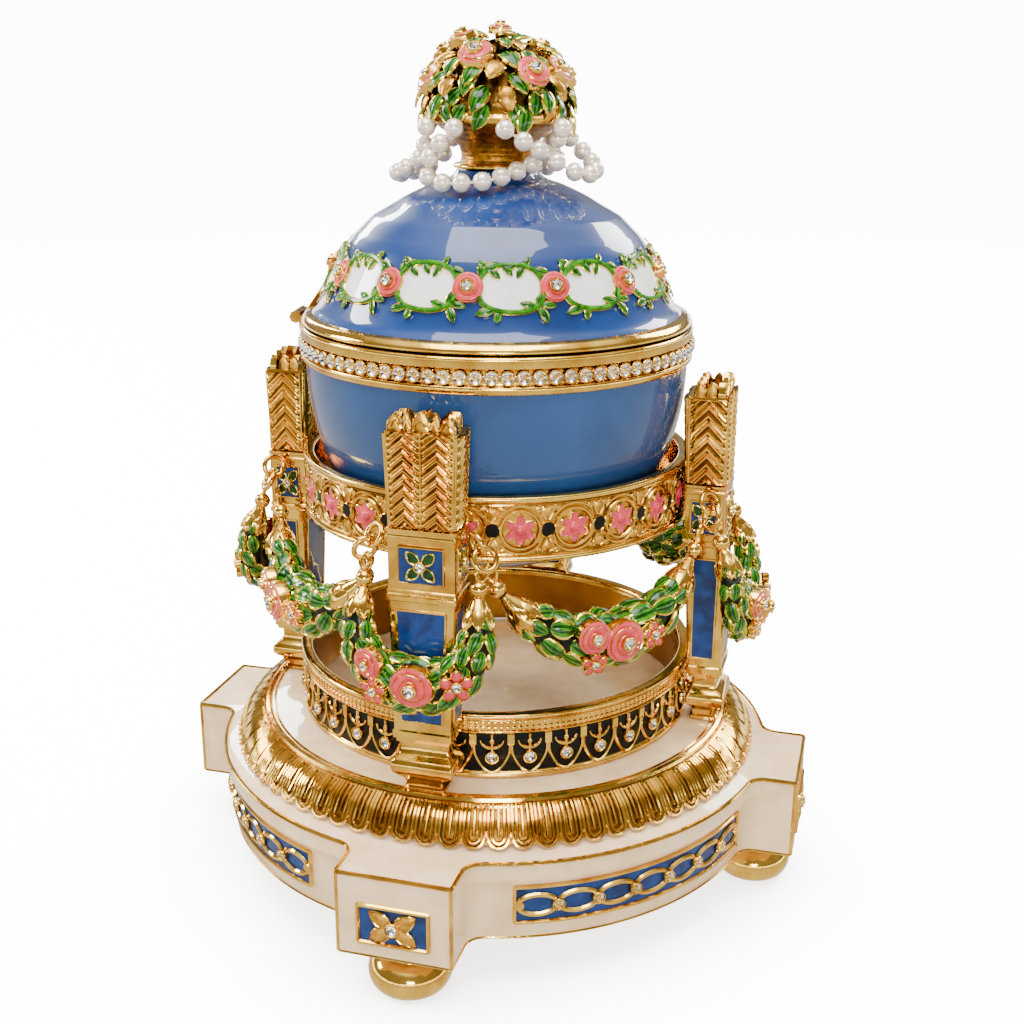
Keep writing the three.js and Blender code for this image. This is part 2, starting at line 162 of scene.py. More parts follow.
# %% A mottled base for every finish
finishes = {}


def mottled(name, light, deep, patch_mm, low, high, detail, distortion=0.0):
    made = bpy.data.materials.new(name)
    made.use_nodes = True
    finishes[name] = made
    tree = made.node_tree
    shader = tree.nodes["Principled BSDF"]
    spot = add(tree, "TexCoord").outputs["Object"]
    cloud = add(tree, "TexNoise", inputs={
        "Vector": spot, "Scale": 1.0 / (patch_mm * MM), "Detail": detail, "Distortion": distortion})
    tint = add(tree, "ValToRGB", inputs={"Fac": cloud.outputs["Fac"]})
    for stop, place, tone in zip(tint.color_ramp.elements, (low, high), (deep, light)):
        stop.position = place
        stop.color = linear(tone)
    tree.links.new(tint.outputs["Color"], shader.inputs["Base Color"])
    return tree, shader, spot, cloud.outputs["Fac"]


def set_values(shader, values):
    for socket, value in values.items():
        shader.inputs[socket].default_value = value


# %% Enamel finishes
def enamel(name, light, deep, drift_mm, swell, roughness=0.35, coat=1.0):
    tree, shader, spot = mottled(name, light, deep, drift_mm, 0.34, 0.66, 3.0, 0.6)[:3]
    wave = add(tree, "TexNoise", inputs={
        "Vector": spot, "Scale": 1.0 / (drift_mm * 1.7 * MM), "Detail": 1.0})
    bump = add(tree, "Bump", inputs={"Height": wave.outputs["Fac"], "Strength": swell, "Distance": 0.4 * MM})
    tree.links.new(bump.outputs["Normal"], shader.inputs["Normal"])
    tree.links.new(bump.outputs["Normal"], shader.inputs["Coat Normal"])
    set_values(shader, {"Roughness": roughness, "IOR": 1.5, "Specular IOR Level": 0.12,
                        "Coat IOR": 1.45, "Coat Weight": coat, "Coat Roughness": 0.03})


enamel("cream_enamel", "#F8D8AA", "#E8C494", 7.0, swell=0.10, coat=0.8)
enamel("lid_blue_enamel", "#0F3874", "#0A2A60", 22.0, swell=0.08)
enamel("bowl_blue_enamel", "#24497C", "#1B3C6A", 22.0, swell=0.08, coat=0.8)
enamel("panel_blue_enamel", "#113874", "#08204C", 4.0, swell=0.35, coat=0.45)
enamel("green_enamel", "#3E8A0A", "#104A06", 1.6, swell=0.25, roughness=0.25, coat=0.45)
# A deep green: the block flower petals' own colour, and painted shade on the strips beside each leaf's midrib
enamel("deep_green_enamel", "#0E4206", "#031C02", 1.6, swell=0.25, roughness=0.25, coat=0.45)
# A near-black green, painted shade for the garland rope between the leaves
enamel("dark_green_enamel", "#021002", "#010601", 2.0, swell=0.3, coat=0.2)
enamel("pink_enamel", "#DA4452", "#BC2E3E", 2.2, swell=0.25, coat=0.7)
enamel("white_enamel", "#F4F4F0", "#E2E3E4", 5.0, swell=0.2)
# Black enamel for the frieze and the ovals; the same black also paints the shadow gap at the egg's seam
enamel("black_enamel", "#080706", "#020202", 3.0, swell=0.2, coat=0.12)
print("enamels:", sorted(finishes))

# %% [markdown]
# ## Gold plating
# The castings are polished and plated with gold. Polishing leaves faint waves and fine scratches,
# and the hollows are duller because the polishing wheel never reaches them; their browner, darker colour is
# painted shade.

# %% Gold finishes
def plating(name, bright, worn, patch_mm, roughness, grain_mm=0.25, grain=0.12):
    tree, shader, spot, patches = mottled(name, bright, worn, patch_mm, 0.3, 0.62, 4.0)
    dull = add(tree, "MapRange", inputs={
        "Value": patches, "To Min": roughness * 1.5, "To Max": roughness * 0.7})
    fine = add(tree, "TexNoise", inputs={"Vector": spot, "Scale": 1.0 / (grain_mm * MM), "Detail": 2.0})
    waves = add(tree, "TexNoise", inputs={
        "Vector": spot, "Scale": 1.0 / (grain_mm * 9.0 * MM), "Detail": 1.0})
    relief = add(tree, "Math", {"operation": "MULTIPLY_ADD"}, {
        0: waves.outputs["Fac"], 1: 4.0, 2: fine.outputs["Fac"]})
    bump = add(tree, "Bump", inputs={
        "Height": relief.outputs["Value"], "Strength": grain, "Distance": 0.1 * MM})
    tree.links.new(dull.outputs["Result"], shader.inputs["Roughness"])
    tree.links.new(bump.outputs["Normal"], shader.inputs["Normal"])
    set_values(shader, {"Metallic": 1.0})


plating("polished_gold", "#EFC455", "#C08A2C", 6.0, 0.09)
# shaded_gold is painted shade: a darker, browner gold laid on hollows, relief valleys and inner faces
plating("shaded_gold", "#6C4A1A", "#34200A", 3.0, 0.25, grain=0.3)
plating("leaf_gold", "#EBD25C", "#B8A036", 2.0, 0.14)
plating("basket_weave_gold", "#A4701E", "#5E380C", 1.2, 0.3, 0.5, 0.9)
plating("chased_gold", "#DCA63E", "#9A6418", 2.0, 0.28, grain=0.4)
# A darker brown gold for the gallery's inner wall: painted shade inside the ring
plating("lining_gold", "#B07C2C", "#936420", 14.0, 0.3, grain=0.1)
plating("silver_foil", "#F2F2F2", "#D5D8DC", 1.0, 0.08)
# A dark foil that paints the dark reflections in a stone's facets
plating("smoky_foil", "#3A3C40", "#1C1E20", 1.0, 0.12)
print("plated metals:", sorted(k for k in finishes if "gold" in k))

# %% [markdown]
# ## Crystal, pearl and thread
# The stones are clear cut glass over a silvered back, which is why they sparkle when they are small.
# The pearls have a soft lustre: a gloss coat over a body that scatters light.

# %% Clear and pearly finishes
def plain(name, light, deep, patch_mm, values):
    tree, shader = mottled(name, light, deep, patch_mm, 0.3, 0.7, 3.0)[:2]
    set_values(shader, values)
    return tree, shader


plain("cut_crystal", "#FFFFFF", "#F4F6F8", 0.6, {"Roughness": 0.0, "IOR": 1.55, "Transmission Weight": 1.0})
plain("pearl_lustre", "#FFF0DC", "#EAD8C2", 1.5, {
    "Roughness": 0.22, "IOR": 1.6, "Coat Weight": 1.0, "Coat Roughness": 0.04, "Metallic": 0.4})
plain("cotton_thread", "#F0E8DC", "#D8CCBA", 0.4, {"Roughness": 0.8})
print("finishes:", len(finishes))

# %% [markdown]
# ## The floor
# The floor is a wide round sheet whose rim curls up on all sides, so it fills the picture from any angle.
# It glows like an overlit sheet, and an ambient occlusion node dims it close to the feet,
# as their shadow does. It is kept out of reflections, so the gold mirrors only the painted room.

# %% Lay the floor
floor_tree, floor_shader = plain("pale_floor", "#FCFCFC", "#F8F8F8", 400.0, {
    "Roughness": 0.6, "Emission Color": (1.0, 1.0, 1.0, 1.0)})
near = add(floor_tree, "AmbientOcclusion", {"samples": 8}, {"Distance": 0.03})
shade = add(floor_tree, "MapRange", inputs={
    "Value": near.outputs["AO"], "From Min": 0.3, "To Min": 3.0, "To Max": 12.0})
floor_tree.links.new(shade.outputs["Result"], floor_shader.inputs["Emission Strength"])
around = 48
sweep_line = ((0.0, 0.0), (2.6, 0.0), (2.8, 0.05), (2.95, 0.2), (3.0, 0.4), (3.0, 5.0))
sweep_points = [(radius * cos(2 * pi * k / around), radius * sin(2 * pi * k / around), z)
                for radius, z in sweep_line for k in range(around)]
sweep_faces = []
for row in range(len(sweep_line) - 1):
    for k in range(around):
        here = row * around + k
        there = row * around + (k + 1) % around
        sweep_faces.append([here, there, there + around, here + around])
floor_mesh = bpy.data.meshes.new("floor")
floor_mesh.from_pydata(sweep_points, [], sweep_faces)
floor_mesh.materials.append(finishes["pale_floor"])
floor = bpy.data.objects.new("floor", floor_mesh)
bpy.context.collection.objects.link(floor)
floor.visible_glossy = False
floor.visible_diffuse = False
floor.visible_transmission = False
floor.visible_shadow = False
print("floor faces:", len(sweep_faces))

# %% [markdown]
# ## How every casting is built
# Everything below is worked in millimetres, with heights counted from the egg's seam.
# A part is a grid of points joined into a skin. Flat ornaments are drawn once as (across, up, out)
# and then laid onto a round wall or a flat face, the way a jeweller solders wire onto a cup.

# %% Skins
def skin(grid, finish, around=False, cap_first=False, cap_last=False):
    rows, columns = grid.shape[:2]
    first = np.arange(rows - 1)[:, None] * columns
    here = np.arange(columns if around else columns - 1)[None, :]
    there = (here + 1) % columns
    corners = [first + here, first + there, first + there + columns, first + here + columns]
    faces = np.stack(corners, -1).reshape(-1, 4).tolist()
    if isinstance(finish, str):
        names = [finish] * len(faces)
    else:
        width = here.shape[1]
        names = []
        for row in finish:
            names += [row] * width if isinstance(row, str) else list(row)
    if cap_first:
        faces.append(list(range(columns))[::-1])
        names.append(names[0])
    if cap_last:
        start = (rows - 1) * columns
        faces.append(list(range(start, start + columns)))
        names.append(names[-1])
    return [(grid.reshape(-1, 3).astype(float), faces, names)]


def laid(parts, place):
    return [(place(points), faces, names) for points, faces, names in parts]


def on_round(radius, height, angle):
    turn = radians(angle)

    def place(points):
        across, up, out = points.T
        r = radius + out
        a = turn + across / radius
        return np.stack([r * np.cos(a), r * np.sin(a), height + up], 1)
    return place


def on_profile(profile, start, round_radius, angle, step, way):
    run_to = run_along(profile)
    turn = radians(angle)

    def place(points):
        across, up, out = points.T
        run = start + up
        (r, z), (r_after, z_after), (r_before, z_before) = [
            [np.interp(run + shift, run_to, profile[:, i]) for i in (0, 1)] for shift in (0.0, step, -step)]
        dr = r_after - r_before
        dz = z_after - z_before
        size = np.maximum(np.hypot(dr, dz), 1e-9)
        a = turn + across / round_radius
        r = r + way * out * dz / size
        z = z - way * out * dr / size
        return np.stack([r * np.cos(a), r * np.sin(a), z], 1)
    return place


def on_flat(origin, across, up):
    across = np.array(across, float) / np.linalg.norm(across)
    up = np.array(up, float)
    up = up - across * (up @ across)
    up = up / np.linalg.norm(up)
    out = np.cross(across, up)

    def place(points):
        return np.array(origin, float) + points[:, :1] * across + points[:, 1:2] * up + points[:, 2:] * out
    return place


def shifted(parts, across=0.0, up=0.0, out=0.0, turn=0.0):
    t = radians(turn)
    spin = np.array([[cos(t), sin(t), 0.0], [-sin(t), cos(t), 0.0], [0.0, 0.0, 1.0]])
    return [(points @ spin + (across, up, out), faces, names) for points, faces, names in parts]


# %% Turned work, wire and pads
def rounded(corners, radius, steps, closed=False):
    corners = np.array(corners, float)
    count = len(corners)
    made = []
    for k in range(count):
        if not closed and k in (0, count - 1):
            made.append(corners[k])
            continue
        before = corners[k - 1] - corners[k]
        after = corners[(k + 1) % count] - corners[k]
        reach = min(radius, 0.45 * np.linalg.norm(before), 0.45 * np.linalg.norm(after))
        start = corners[k] + before / max(np.linalg.norm(before), 1e-9) * reach
        end = corners[k] + after / max(np.linalg.norm(after), 1e-9) * reach
        for t in np.linspace(0.0, 1.0, steps + 1):
            made.append((1 - t) ** 2 * start + 2 * t * (1 - t) * corners[k] + t * t * end)
    return np.array(made)


def turned(profile, finish, steps=160, closed=True):
    profile = np.array(profile, float)
    if closed:
        profile = np.vstack([profile, profile[:1]])
    profile[:, 0] = np.maximum(profile[:, 0], 0.02)
    a = np.radians(np.linspace(0.0, 360.0, steps, endpoint=False))
    grid = np.stack([profile[:, :1] * np.cos(a), profile[:, :1] * np.sin(a),
                     np.repeat(profile[:, 1:], steps, 1)], -1)
    return skin(grid, finish, around=True, cap_first=not closed and profile[0, 0] < 0.03,
                cap_last=not closed and profile[-1, 0] < 0.03)


def unit(vectors):
    return vectors / np.maximum(np.linalg.norm(vectors, axis=-1, keepdims=True), 1e-9)


def wire(path, radius, finish="polished_gold", sides=6, closed=False, out=(0, 0, 1), flat=1.0):
    path = np.array(path, float)
    ahead = np.roll(path, -1, 0)
    behind = np.roll(path, 1, 0)
    if not closed:
        ahead[-1] = path[-1]
        behind[0] = path[0]
    along = unit(ahead - behind)
    out = np.broadcast_to(np.array(out, float), path.shape)
    up = unit(out - along * np.sum(out * along, 1, keepdims=True))
    side = np.cross(along, up)
    a = np.linspace(0, 2 * pi, sides, endpoint=False)
    size = np.broadcast_to(np.array(radius, float), (len(path),))[:, None, None]
    grid = path[:, None] + size * (np.cos(a)[None, :, None] * side[:, None]
                                   + np.sin(a)[None, :, None] * up[:, None] * flat)
    if closed:
        grid = np.concatenate([grid, grid[:1]])
    return skin(grid, finish, around=True, cap_first=not closed, cap_last=not closed)


def smooth_line(points, count):
    points = np.array(points, float)
    padded = np.vstack([2 * points[0] - points[1], points, 2 * points[-1] - points[-2]])
    where = np.linspace(0, len(points) - 1 - 1e-6, count)
    k = where.astype(int)
    t = (where - k)[:, None]
    a, b, c, d = padded[k], padded[k + 1], padded[k + 2], padded[k + 3]
    bend = (2 * a - 5 * b + 4 * c - d) * t ** 2
    return 0.5 * (2 * b + (c - a) * t + bend + (3 * b - a - 3 * c + d) * t ** 3)


def run_along(line):
    return np.concatenate([[0.0], np.cumsum(np.linalg.norm(np.diff(line, axis=0), axis=1))])


def raised(line, out):
    return np.column_stack([line, np.full(len(line), out)])


def pad(outline, steps, finish):
    outline = np.array(outline, float)
    middle = outline.mean(0)
    rows = [raised(middle + (outline - middle) * scale, out) for scale, out in steps]
    return skin(np.array(rows), finish, around=True, cap_last=True)


def oval(wide, tall, count, power=2.0):
    a = np.linspace(0, 2 * pi, count, endpoint=False)
    return np.stack([wide * np.sign(np.cos(a)) * np.abs(np.cos(a)) ** (2 / power),
                     tall * np.sign(np.sin(a)) * np.abs(np.sin(a)) ** (2 / power)], 1)


def panel(wide, tall, bevel, step=0.0):
    corners = [(-wide / 2, -tall / 2), (wide / 2, -tall / 2), (wide / 2, tall / 2), (-wide / 2, tall / 2)]
    line = rounded(corners, bevel, 2, closed=True)
    if step:
        dense = []
        for k in range(len(line)):
            gap = line[(k + 1) % len(line)] - line[k]
            pieces = max(1, int(np.linalg.norm(gap) / step))
            dense += [line[k] + gap * t / pieces for t in range(pieces)]
        line = np.array(dense)
    return line


# %% Join the parts of a piece
def piece(name, parts, body, nodes, turn=0.0, mesh=None):
    if mesh is None:
        points = []
        faces = []
        names = []
        count = 0
        for part_points, part_faces, part_names in parts:
            points.append(part_points)
            faces += [[i + count for i in face] for face in part_faces]
            names += part_names
            count += len(part_points)
        points = np.concatenate(points) * MM
        points[:, 2] += SEAM
        mesh = bpy.data.meshes.new(name)
        mesh.from_pydata(points.tolist(), [], faces)
        used = sorted(set(names))
        for finish in used:
            mesh.materials.append(finishes[finish])
        mesh.polygons.foreach_set("material_index", [used.index(n) for n in names])
        mesh.polygons.foreach_set("use_smooth", [n != "cut_crystal" for n in names])
        work = bmesh.new()
        work.from_mesh(mesh)
        bmesh.ops.remove_doubles(work, verts=work.verts, dist=2e-7)
        bmesh.ops.recalc_face_normals(work, faces=work.faces)
        work.to_mesh(mesh)
        work.free()
        mesh.set_sharp_from_angle(angle=radians(40))
        print(name, "has", len(faces), "faces in", len(used), "finishes")
    made = bpy.data.objects.new(name, mesh)
    made.rotation_euler = (0.0, 0.0, radians(turn))
    bpy.context.collection.objects.link(made)
    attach(made, body)
    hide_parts(*nodes)
    return made


# %% Repeat a piece on all four sides
four_sides = ("right", "back", "left", "front")


def around_stand(name_pattern, node_pattern, parts, places=four_sides, first_turn=0.0):
    mesh = None
    for k, place in enumerate(places):
        node = node_pattern.format(place)
        made = piece(name_pattern.format(place), parts, "stand", [node],
                     first_turn + 90.0 * k, mesh)
        mesh = made.data
    return mesh


print("four sides:", four_sides)

# %% [markdown]
# ## Small jewels and flowers
# A rhinestone is a faceted crown over a silvered cone, held in a gold collar. One side in four of the cone
# is dark foil, a painted dark reflection, because a small stone always shows a few dark facets among the
# bright ones.
# Roses, star flowers and leaves are drawn once here, with raised gold edges, and reused all over the egg.

# %% Stones
def stone(radius, collar=True):
    a = np.radians(np.arange(8) * 45.0)
    b = a + radians(22.5)
    rows = [(0.02, -0.55, a), (1.0, 0.16, a), (0.8, 0.42, b), (0.52, 0.56, a)]
    points = np.concatenate([np.stack([r * np.cos(t), r * np.sin(t), np.full(8, z)], 1) for r, z, t in rows])
    faces = []
    for k in range(8):
        n = (k + 1) % 8
        faces += [[k, n, 8 + n, 8 + k], [8 + k, 8 + n, 16 + k], [16 + k, 8 + n, 16 + n],
                  [16 + k, 24 + n, 24 + k], [16 + k, 16 + n, 24 + n]]
    faces += [list(range(24, 32)), list(range(8))[::-1]]
    made = [(points * radius, faces, ["cut_crystal"] * len(faces))]
    foil = [(0.03, -0.6), (1.02, 0.1)]
    cone = turned(np.array(foil) * radius, "silver_foil", 16, closed=False)
    # One cone side in four gets the dark foil, a painted dark reflection
    dark = ["smoky_foil" if k % 4 == 1 else "silver_foil" for k in range(len(cone[0][1]))]
    made += [(cone[0][0], cone[0][1], dark)]
    if collar:
        ring = np.array([(0.98, -0.4), (1.34, -0.4), (1.34, 0.2), (1.24, 0.36), (1.08, 0.36), (0.98, 0.18)])
        made += turned(ring * radius, "polished_gold", 16)
    return made


# %% Leaves
def leaf(length, width, arch=0.12, droop=0.0, edge="leaf_gold", face="green_enamel", thick=0.45):
    t = np.array([0.0, 0.1, 0.26, 0.44, 0.62, 0.79, 0.92, 1.0])
    half = width / 2 * np.array([0.28, 0.62, 0.92, 1.0, 0.92, 0.66, 0.33, 0.06])
    s = np.array([-1.0, -1.0, -0.84, -0.74, -0.4, -0.1, 0.1, 0.4, 0.74, 0.84, 1.0, 1.0])
    lift = np.array([-thick, 0.1, 0.15, 0.0, 0.06, -0.02, -0.02, 0.06, 0.0, 0.15, 0.1, -thick])
    relief = min(1.0, width / 2.6)
    vein = np.array([0, 0, 0, 0, 0, 1, 1, 0, 0, 0, 0, 0]) * 0.14 * relief
    along = t[:, None] * length + 0 * s[None, :]
    across = half[:, None] * s[None, :]
    out = lift[None, :] * relief + vein[None, :] + arch * length * np.sin(pi * t)[:, None] * 0.5
    out = out - droop * length * t[:, None] ** 2 + 0.18 * half[:, None] * (1 - s[None, :] ** 2)
    grid = np.stack([along, across, out], -1)
    # The two strips beside the midrib take the deep green as painted shade of the leaf's relief
    deep = "deep_green_enamel" if face == "green_enamel" else face
    names = [edge, edge, edge, face, deep, face, deep, face, edge, edge, edge]
    return skin(grid, [names] * (len(t) - 1))


gilded = {"edge": "polished_gold", "face": "chased_gold"}


# %% Roses and star flowers
def rose(radius, height, turns=3.0, gem=0.3):
    around = 26
    angles = np.arange(int(turns * around) + 1) * 2 * pi / around
    grow = 2 * pi * (turns - 1.0)

    def edge(a):
        return radius * (0.36 + 0.64 * np.clip(a / grow, 0.0, 1.0))

    outer = edge(angles)
    inner = np.where(angles >= 2 * pi, edge(angles - 2 * pi), 0.2 * radius)
    inner = np.minimum(inner, outer - 0.01 * radius)
    q = np.array([0.0, 0.3, 0.62, 0.86, 0.94, 1.0, 1.0])
    rise = np.array([0.0, 0.05, 0.08, 0.07, 0.11, 0.08, -0.05])
    r = inner[:, None] + (outer - inner)[:, None] * q[None, :]
    dome = height * np.sqrt(np.clip(1.02 - (r / radius) ** 2 * 0.98, 0.0, 1.0))
    out = dome + rise[None, :] * radius * np.clip((outer - inner) / (0.3 * radius), 0.25, 1.0)[:, None]
    out[:, -1] = np.where(angles > grow, -0.35 * radius, out[:, -1])
    grid = np.stack([r * np.cos(angles)[:, None], r * np.sin(angles)[:, None], out], -1)
    names = ["pink_enamel", "pink_enamel", "pink_enamel", "polished_gold", "polished_gold", "polished_gold"]
    made = skin(grid, [names] * (len(angles) - 1))
    made += shifted(stone(gem * radius), out=height + 0.16 * radius)
    return made


def star_flower(radius):
    made = []
    petals = 5
    half_wide = tan(pi / petals * 1.05 / 2) * 1.6
    a = np.linspace(0, 2 * pi, 14, endpoint=False)
    outline = np.stack([0.62 * radius + 0.4 * radius * np.cos(a), 0.62 * radius * half_wide * np.sin(a)], 1)
    petal = pad(outline, [(1.0, -0.3 * radius), (1.0, 0.1 * radius), (0.86, 0.16 * radius),
                          (0.78, 0.07 * radius), (0.4, 0.13 * radius)],
                ["polished_gold", "polished_gold", "polished_gold", "pink_enamel"])
    for k in range(petals):
        made += shifted(petal, turn=90.0 + k * 360.0 / petals)
    return made + shifted(stone(0.27 * radius), out=0.16 * radius)


print("rose faces:", len(rose(3.0, 1.2)[0][1]), "leaf faces:", len(leaf(5, 3)[0][1]))

# %% [markdown]
# ## The plinth
# A hollow casting in cream enamel: a round drum with four square blocks, joined to it by small coves.
# Its plan is a closed line that never folds back seen from the centre, so every level of the side
# uses the same number of points, and the sloping top runs straight in from the edge to the gadroons.

# %% Draw the plinth's plan
def plinth_plan(drum, reach):
    half = 11.425
    cove = 4.0
    centre = np.array([sqrt((drum + cove) ** 2 - (half + cove) ** 2), half + cove])
    a = np.linspace(-pi / 2, atan2(centre[1], centre[0]) - pi, 9)
    arc = centre + cove * np.stack([np.cos(a), np.sin(a)], 1)
    side = np.linspace((reach, 0.0), (reach, half - 0.5), 6)[:-1]
    bevel = [(reach, half - 0.5), (reach - 0.15, half - 0.15), (reach - 0.5, half)]
    flank = np.linspace((reach - 0.5, half), arc[0], 5)[1:-1]
    start = atan2(arc[-1][1], arc[-1][0])
    sweep = np.linspace(start, pi / 4, 16)[1:]
    drum_arc = drum * np.stack([np.cos(sweep), np.sin(sweep)], 1)
    return np.vstack([side, bevel, flank, arc, drum_arc])


def whole_plan(drum, reach):
    eighth = plinth_plan(drum, reach)
    mirrored = eighth[1:][::-1] * (1, -1)
    quarter = np.vstack([mirrored[1:], eighth])
    made = []
    for k in range(4):
        c, s = round(cos(k * pi / 2)), round(sin(k * pi / 2))
        made.append(quarter @ np.array([[c, s], [-s, c]]))
    return np.vstack(made)


levels = [(59.2, 68.9, -110.4), (59.4, 69.2, -110.1), (59.6, 69.2, -97.4), (60.0, 69.2, -97.0),
          (60.95, 69.2, -96.7), (61.05, 69.2, -93.3), (60.8, 68.95, -93.0)]
rows = []
for drum, reach, z in levels:
    rows.append(raised(whole_plan(drum, reach), z))
edge = rows[-1][:, :2]
for radius, z in ((60.2, -92.75), (58.6, -92.3), (56.5, -91.7), (54.0, -91.0)):
    reached = np.minimum(1.0, radius / np.linalg.norm(edge, axis=1))[:, None]
    rows.append(raised(edge * reached, z))
plinth = skin(np.array(rows), "cream_enamel", around=True, cap_first=True)
plinth += turned([(54.0, -91.0), (51.0, -86.4), (51.0, -84.95), (50.6, -84.7), (30.0, -84.7), (0.0, -84.7)],
                 "cream_enamel", closed=False)
print("plan points:", len(edge), "of", len(whole_plan(59.4, 69.2)))

# %% [markdown]
# Thin gold lines cover every edge of the plinth, where the enamel stops against bare, gilded metal.

# %% Run gold wire along the edges
plinth += wire(raised(whole_plan(61.0, 69.15), -93.05), 0.45, closed=True)
plinth += wire(raised(whole_plan(59.35, 69.1), -110.2), 0.3, closed=True)
for k in range(4):
    c, s = round(cos(k * pi / 2)), round(sin(k * pi / 2))
    for side in (-1, 1):
        x, y = 69.05, side * 11.3
        ends = [(x * c - y * s, x * s + y * c, z) for z in (-110.1, -101.0, -93.1)]
        plinth += wire(ends, 0.42, out=(x * c - y * s, x * s + y * c, 0))
for radius, z, size in ((51.2, -84.95, 0.8), (52.35, -85.75, 0.5), (49.9, -84.75, 0.32)):
    plinth += turned(oval(size, size, 8) + (radius, z), "polished_gold", 180)

# %% [markdown]
# ## Gadroons
# A ring of tongue-shaped leaves falls over the shoulder of the plinth. Each is a rounded tongue drawn
# with two nested U-shaped ridges and a rib down the middle. The ridges are drawn flat
# and bent over the shoulder's curve, so one leaf serves all of them.

# %% Bend one gadroon over the shoulder
gadroon_count = 76
gadroon_radius = 57.0
shoulder = smooth_line([(51.6, -85.1), (53.4, -85.9), (55.2, -87.2), (56.5, -88.9), (57.4, -90.6),
                        (57.9, -91.9)], 40)
total = run_along(shoulder)[-1]
half_leaf = pi * gadroon_radius / gadroon_count
bend = total - half_leaf
tongue = []
start = 0.9
for inset, size, lift in ((0.38, 0.37, 0.3), (1.24, 0.3, 0.4)):
    wide = half_leaf - inset
    left = [(-wide, run) for run in np.linspace(start, bend, 6)[:-1]]
    tip = [(-wide * cos(t), bend + wide * sin(t)) for t in np.linspace(0, pi, 9)]
    right_side = [(wide, run) for run in np.linspace(bend, start, 6)[1:]]
    tongue += wire(raised(left + tip + right_side, lift), size)
tongue += wire([(0, 1.4, 0.4), (0, 3.0, 0.45), (0, total - 2.4, 0.4)], 0.28)
for k in range(gadroon_count):
    angle = (k + 0.5) * 360.0 / gadroon_count
    plinth += laid(tongue, on_profile(shoulder, 0.0, gadroon_radius, angle, 0.2, -1.0))
plinth += turned([(51.4, -85.1), (53.4, -86.0), (55.2, -87.3), (56.4, -89.0), (57.2, -91.2), (50.0, -91.3)],
                 "basket_weave_gold")
print("gadroon faces:", gadroon_count * len(tongue[0][1]))

# %% [markdown]
# ## Link panels and block plates
# Between the blocks, a curved blue panel carries a chain of oval gold links with a stone at each joint.
# Each block carries a blue plate with a four-petal gold flower. Both have a raised gold frame.

# %% Make the link panels
def frame_line(wide, tall, radius, lift):
    return wire(raised(panel(wide, tall, 0.3, step=1.5), lift), radius, closed=True)


def sheet_pad(wide, tall, lift, columns):
    x = np.linspace(-wide / 2, wide / 2, columns)
    y = np.array([-tall / 2, -tall / 2, 0.0, tall / 2, tall / 2])
    out = np.array([-0.4, lift, lift + 0.05, lift, -0.4])
    grid = np.stack(np.broadcast_arrays(x[None, :], y[:, None], out[:, None]), -1)
    return skin(grid, "panel_blue_enamel")


chain_wide = 57.0
panel_face = 59.55
panel_middle = -102.8
chain = sheet_pad(chain_wide, 7.6, 0.25, 30)
chain += frame_line(chain_wide, 7.8, 0.42, 0.35)
pitch = 8.05
for k in range(7):
    centre = (k - 3) * pitch
    link = oval(4.1 if k not in (0, 6) else 3.9, 2.15, 22)
    chain += wire(raised(link + (centre, 0.0), 0.5), 0.55, closed=True, flat=0.75)
for k in range(6):
    chain += shifted(stone(1.0), across=(k - 2.5) * pitch, out=0.95)
for side in (-1, 1):
    chain += shifted(pad(oval(1.1, 1.1, 10), [(1, 0.1), (0.9, 0.7), (0.4, 0.85)], "polished_gold"),
                     across=side * 27.7)
for angle in (-43.0, 43.0, 137.0, -139.5):
    plinth += laid(chain, on_round(panel_face, panel_middle, angle))

# %% Make the block plates
block_face = 69.15
plate_middle = -103.0
plate = sheet_pad(13.7, 7.6, 0.35, 4)
plate += frame_line(14.0, 8.0, 0.45, 0.45)
for turn in (33.0, 147.0, 213.0, 327.0):
    petal = leaf(5.0, 3.3, arch=0.12, **gilded, thick=0.5)
    plate += shifted(shifted(petal, across=0.5, out=0.5), turn=turn)
plate += shifted(stone(1.15), out=1.15)
for k in range(4):
    a = radians(k * 90.0)
    origin = (block_face * cos(a), block_face * sin(a), plate_middle)
    plinth += laid(plate, on_flat(origin, (-sin(a), cos(a), 0), (0, 0, 1)))
piece("plinth_enamelled", plinth, "stand", ["plinth"])

# %% [markdown]
# ## Feet
# Four turned bun feet, polished all over. A lathe profile spun round is all they need.

# %% Turn the feet
foot_profile = smooth_line([(0.02, -121.38), (5.2, -121.38), (7.3, -120.4), (8.3, -118.2), (8.1, -116.2),
                            (6.9, -114.6), (5.6, -113.9), (5.0, -114.2), (4.7, -113.2), (4.7, -110.8)], 37)
foot_parts = [(points + (60.0, 0, 0), faces, names)
              for points, faces, names in turned(foot_profile, "polished_gold", 40, closed=False)]
foot_mesh = around_stand("bun_foot_{}", "foot_{}", foot_parts)
print("feet on the ground at", round(min(v.co.z for v in foot_mesh.vertices) / MM, 2), "mm")

# %% [markdown]
# ## The gallery
# A low ring around the middle of the plinth: a plain polished rim, a ribbed band and a black enamel frieze.
# Thin gold lines on the black draw a scallop in every bay, with an anchor-shaped hook and a hanging stone.

# %% Turn the gallery's body
rim = rounded([(42.9, -84.4), (43.4, -84.4), (43.4, -83.6), (42.75, -83.3), (42.6, -75.0), (43.0, -74.6),
               (43.0, -71.9), (43.6, -71.5), (43.3, -70.75), (41.2, -70.75), (40.8, -71.5), (41.3, -74.0),
               (41.3, -84.4)], 0.35, 2)
gallery = turned(rim, "polished_gold", 216)
gallery += turned([(42.5, -83.4), (42.8, -83.3), (42.75, -75.1), (42.5, -75.0)], "black_enamel", 216)
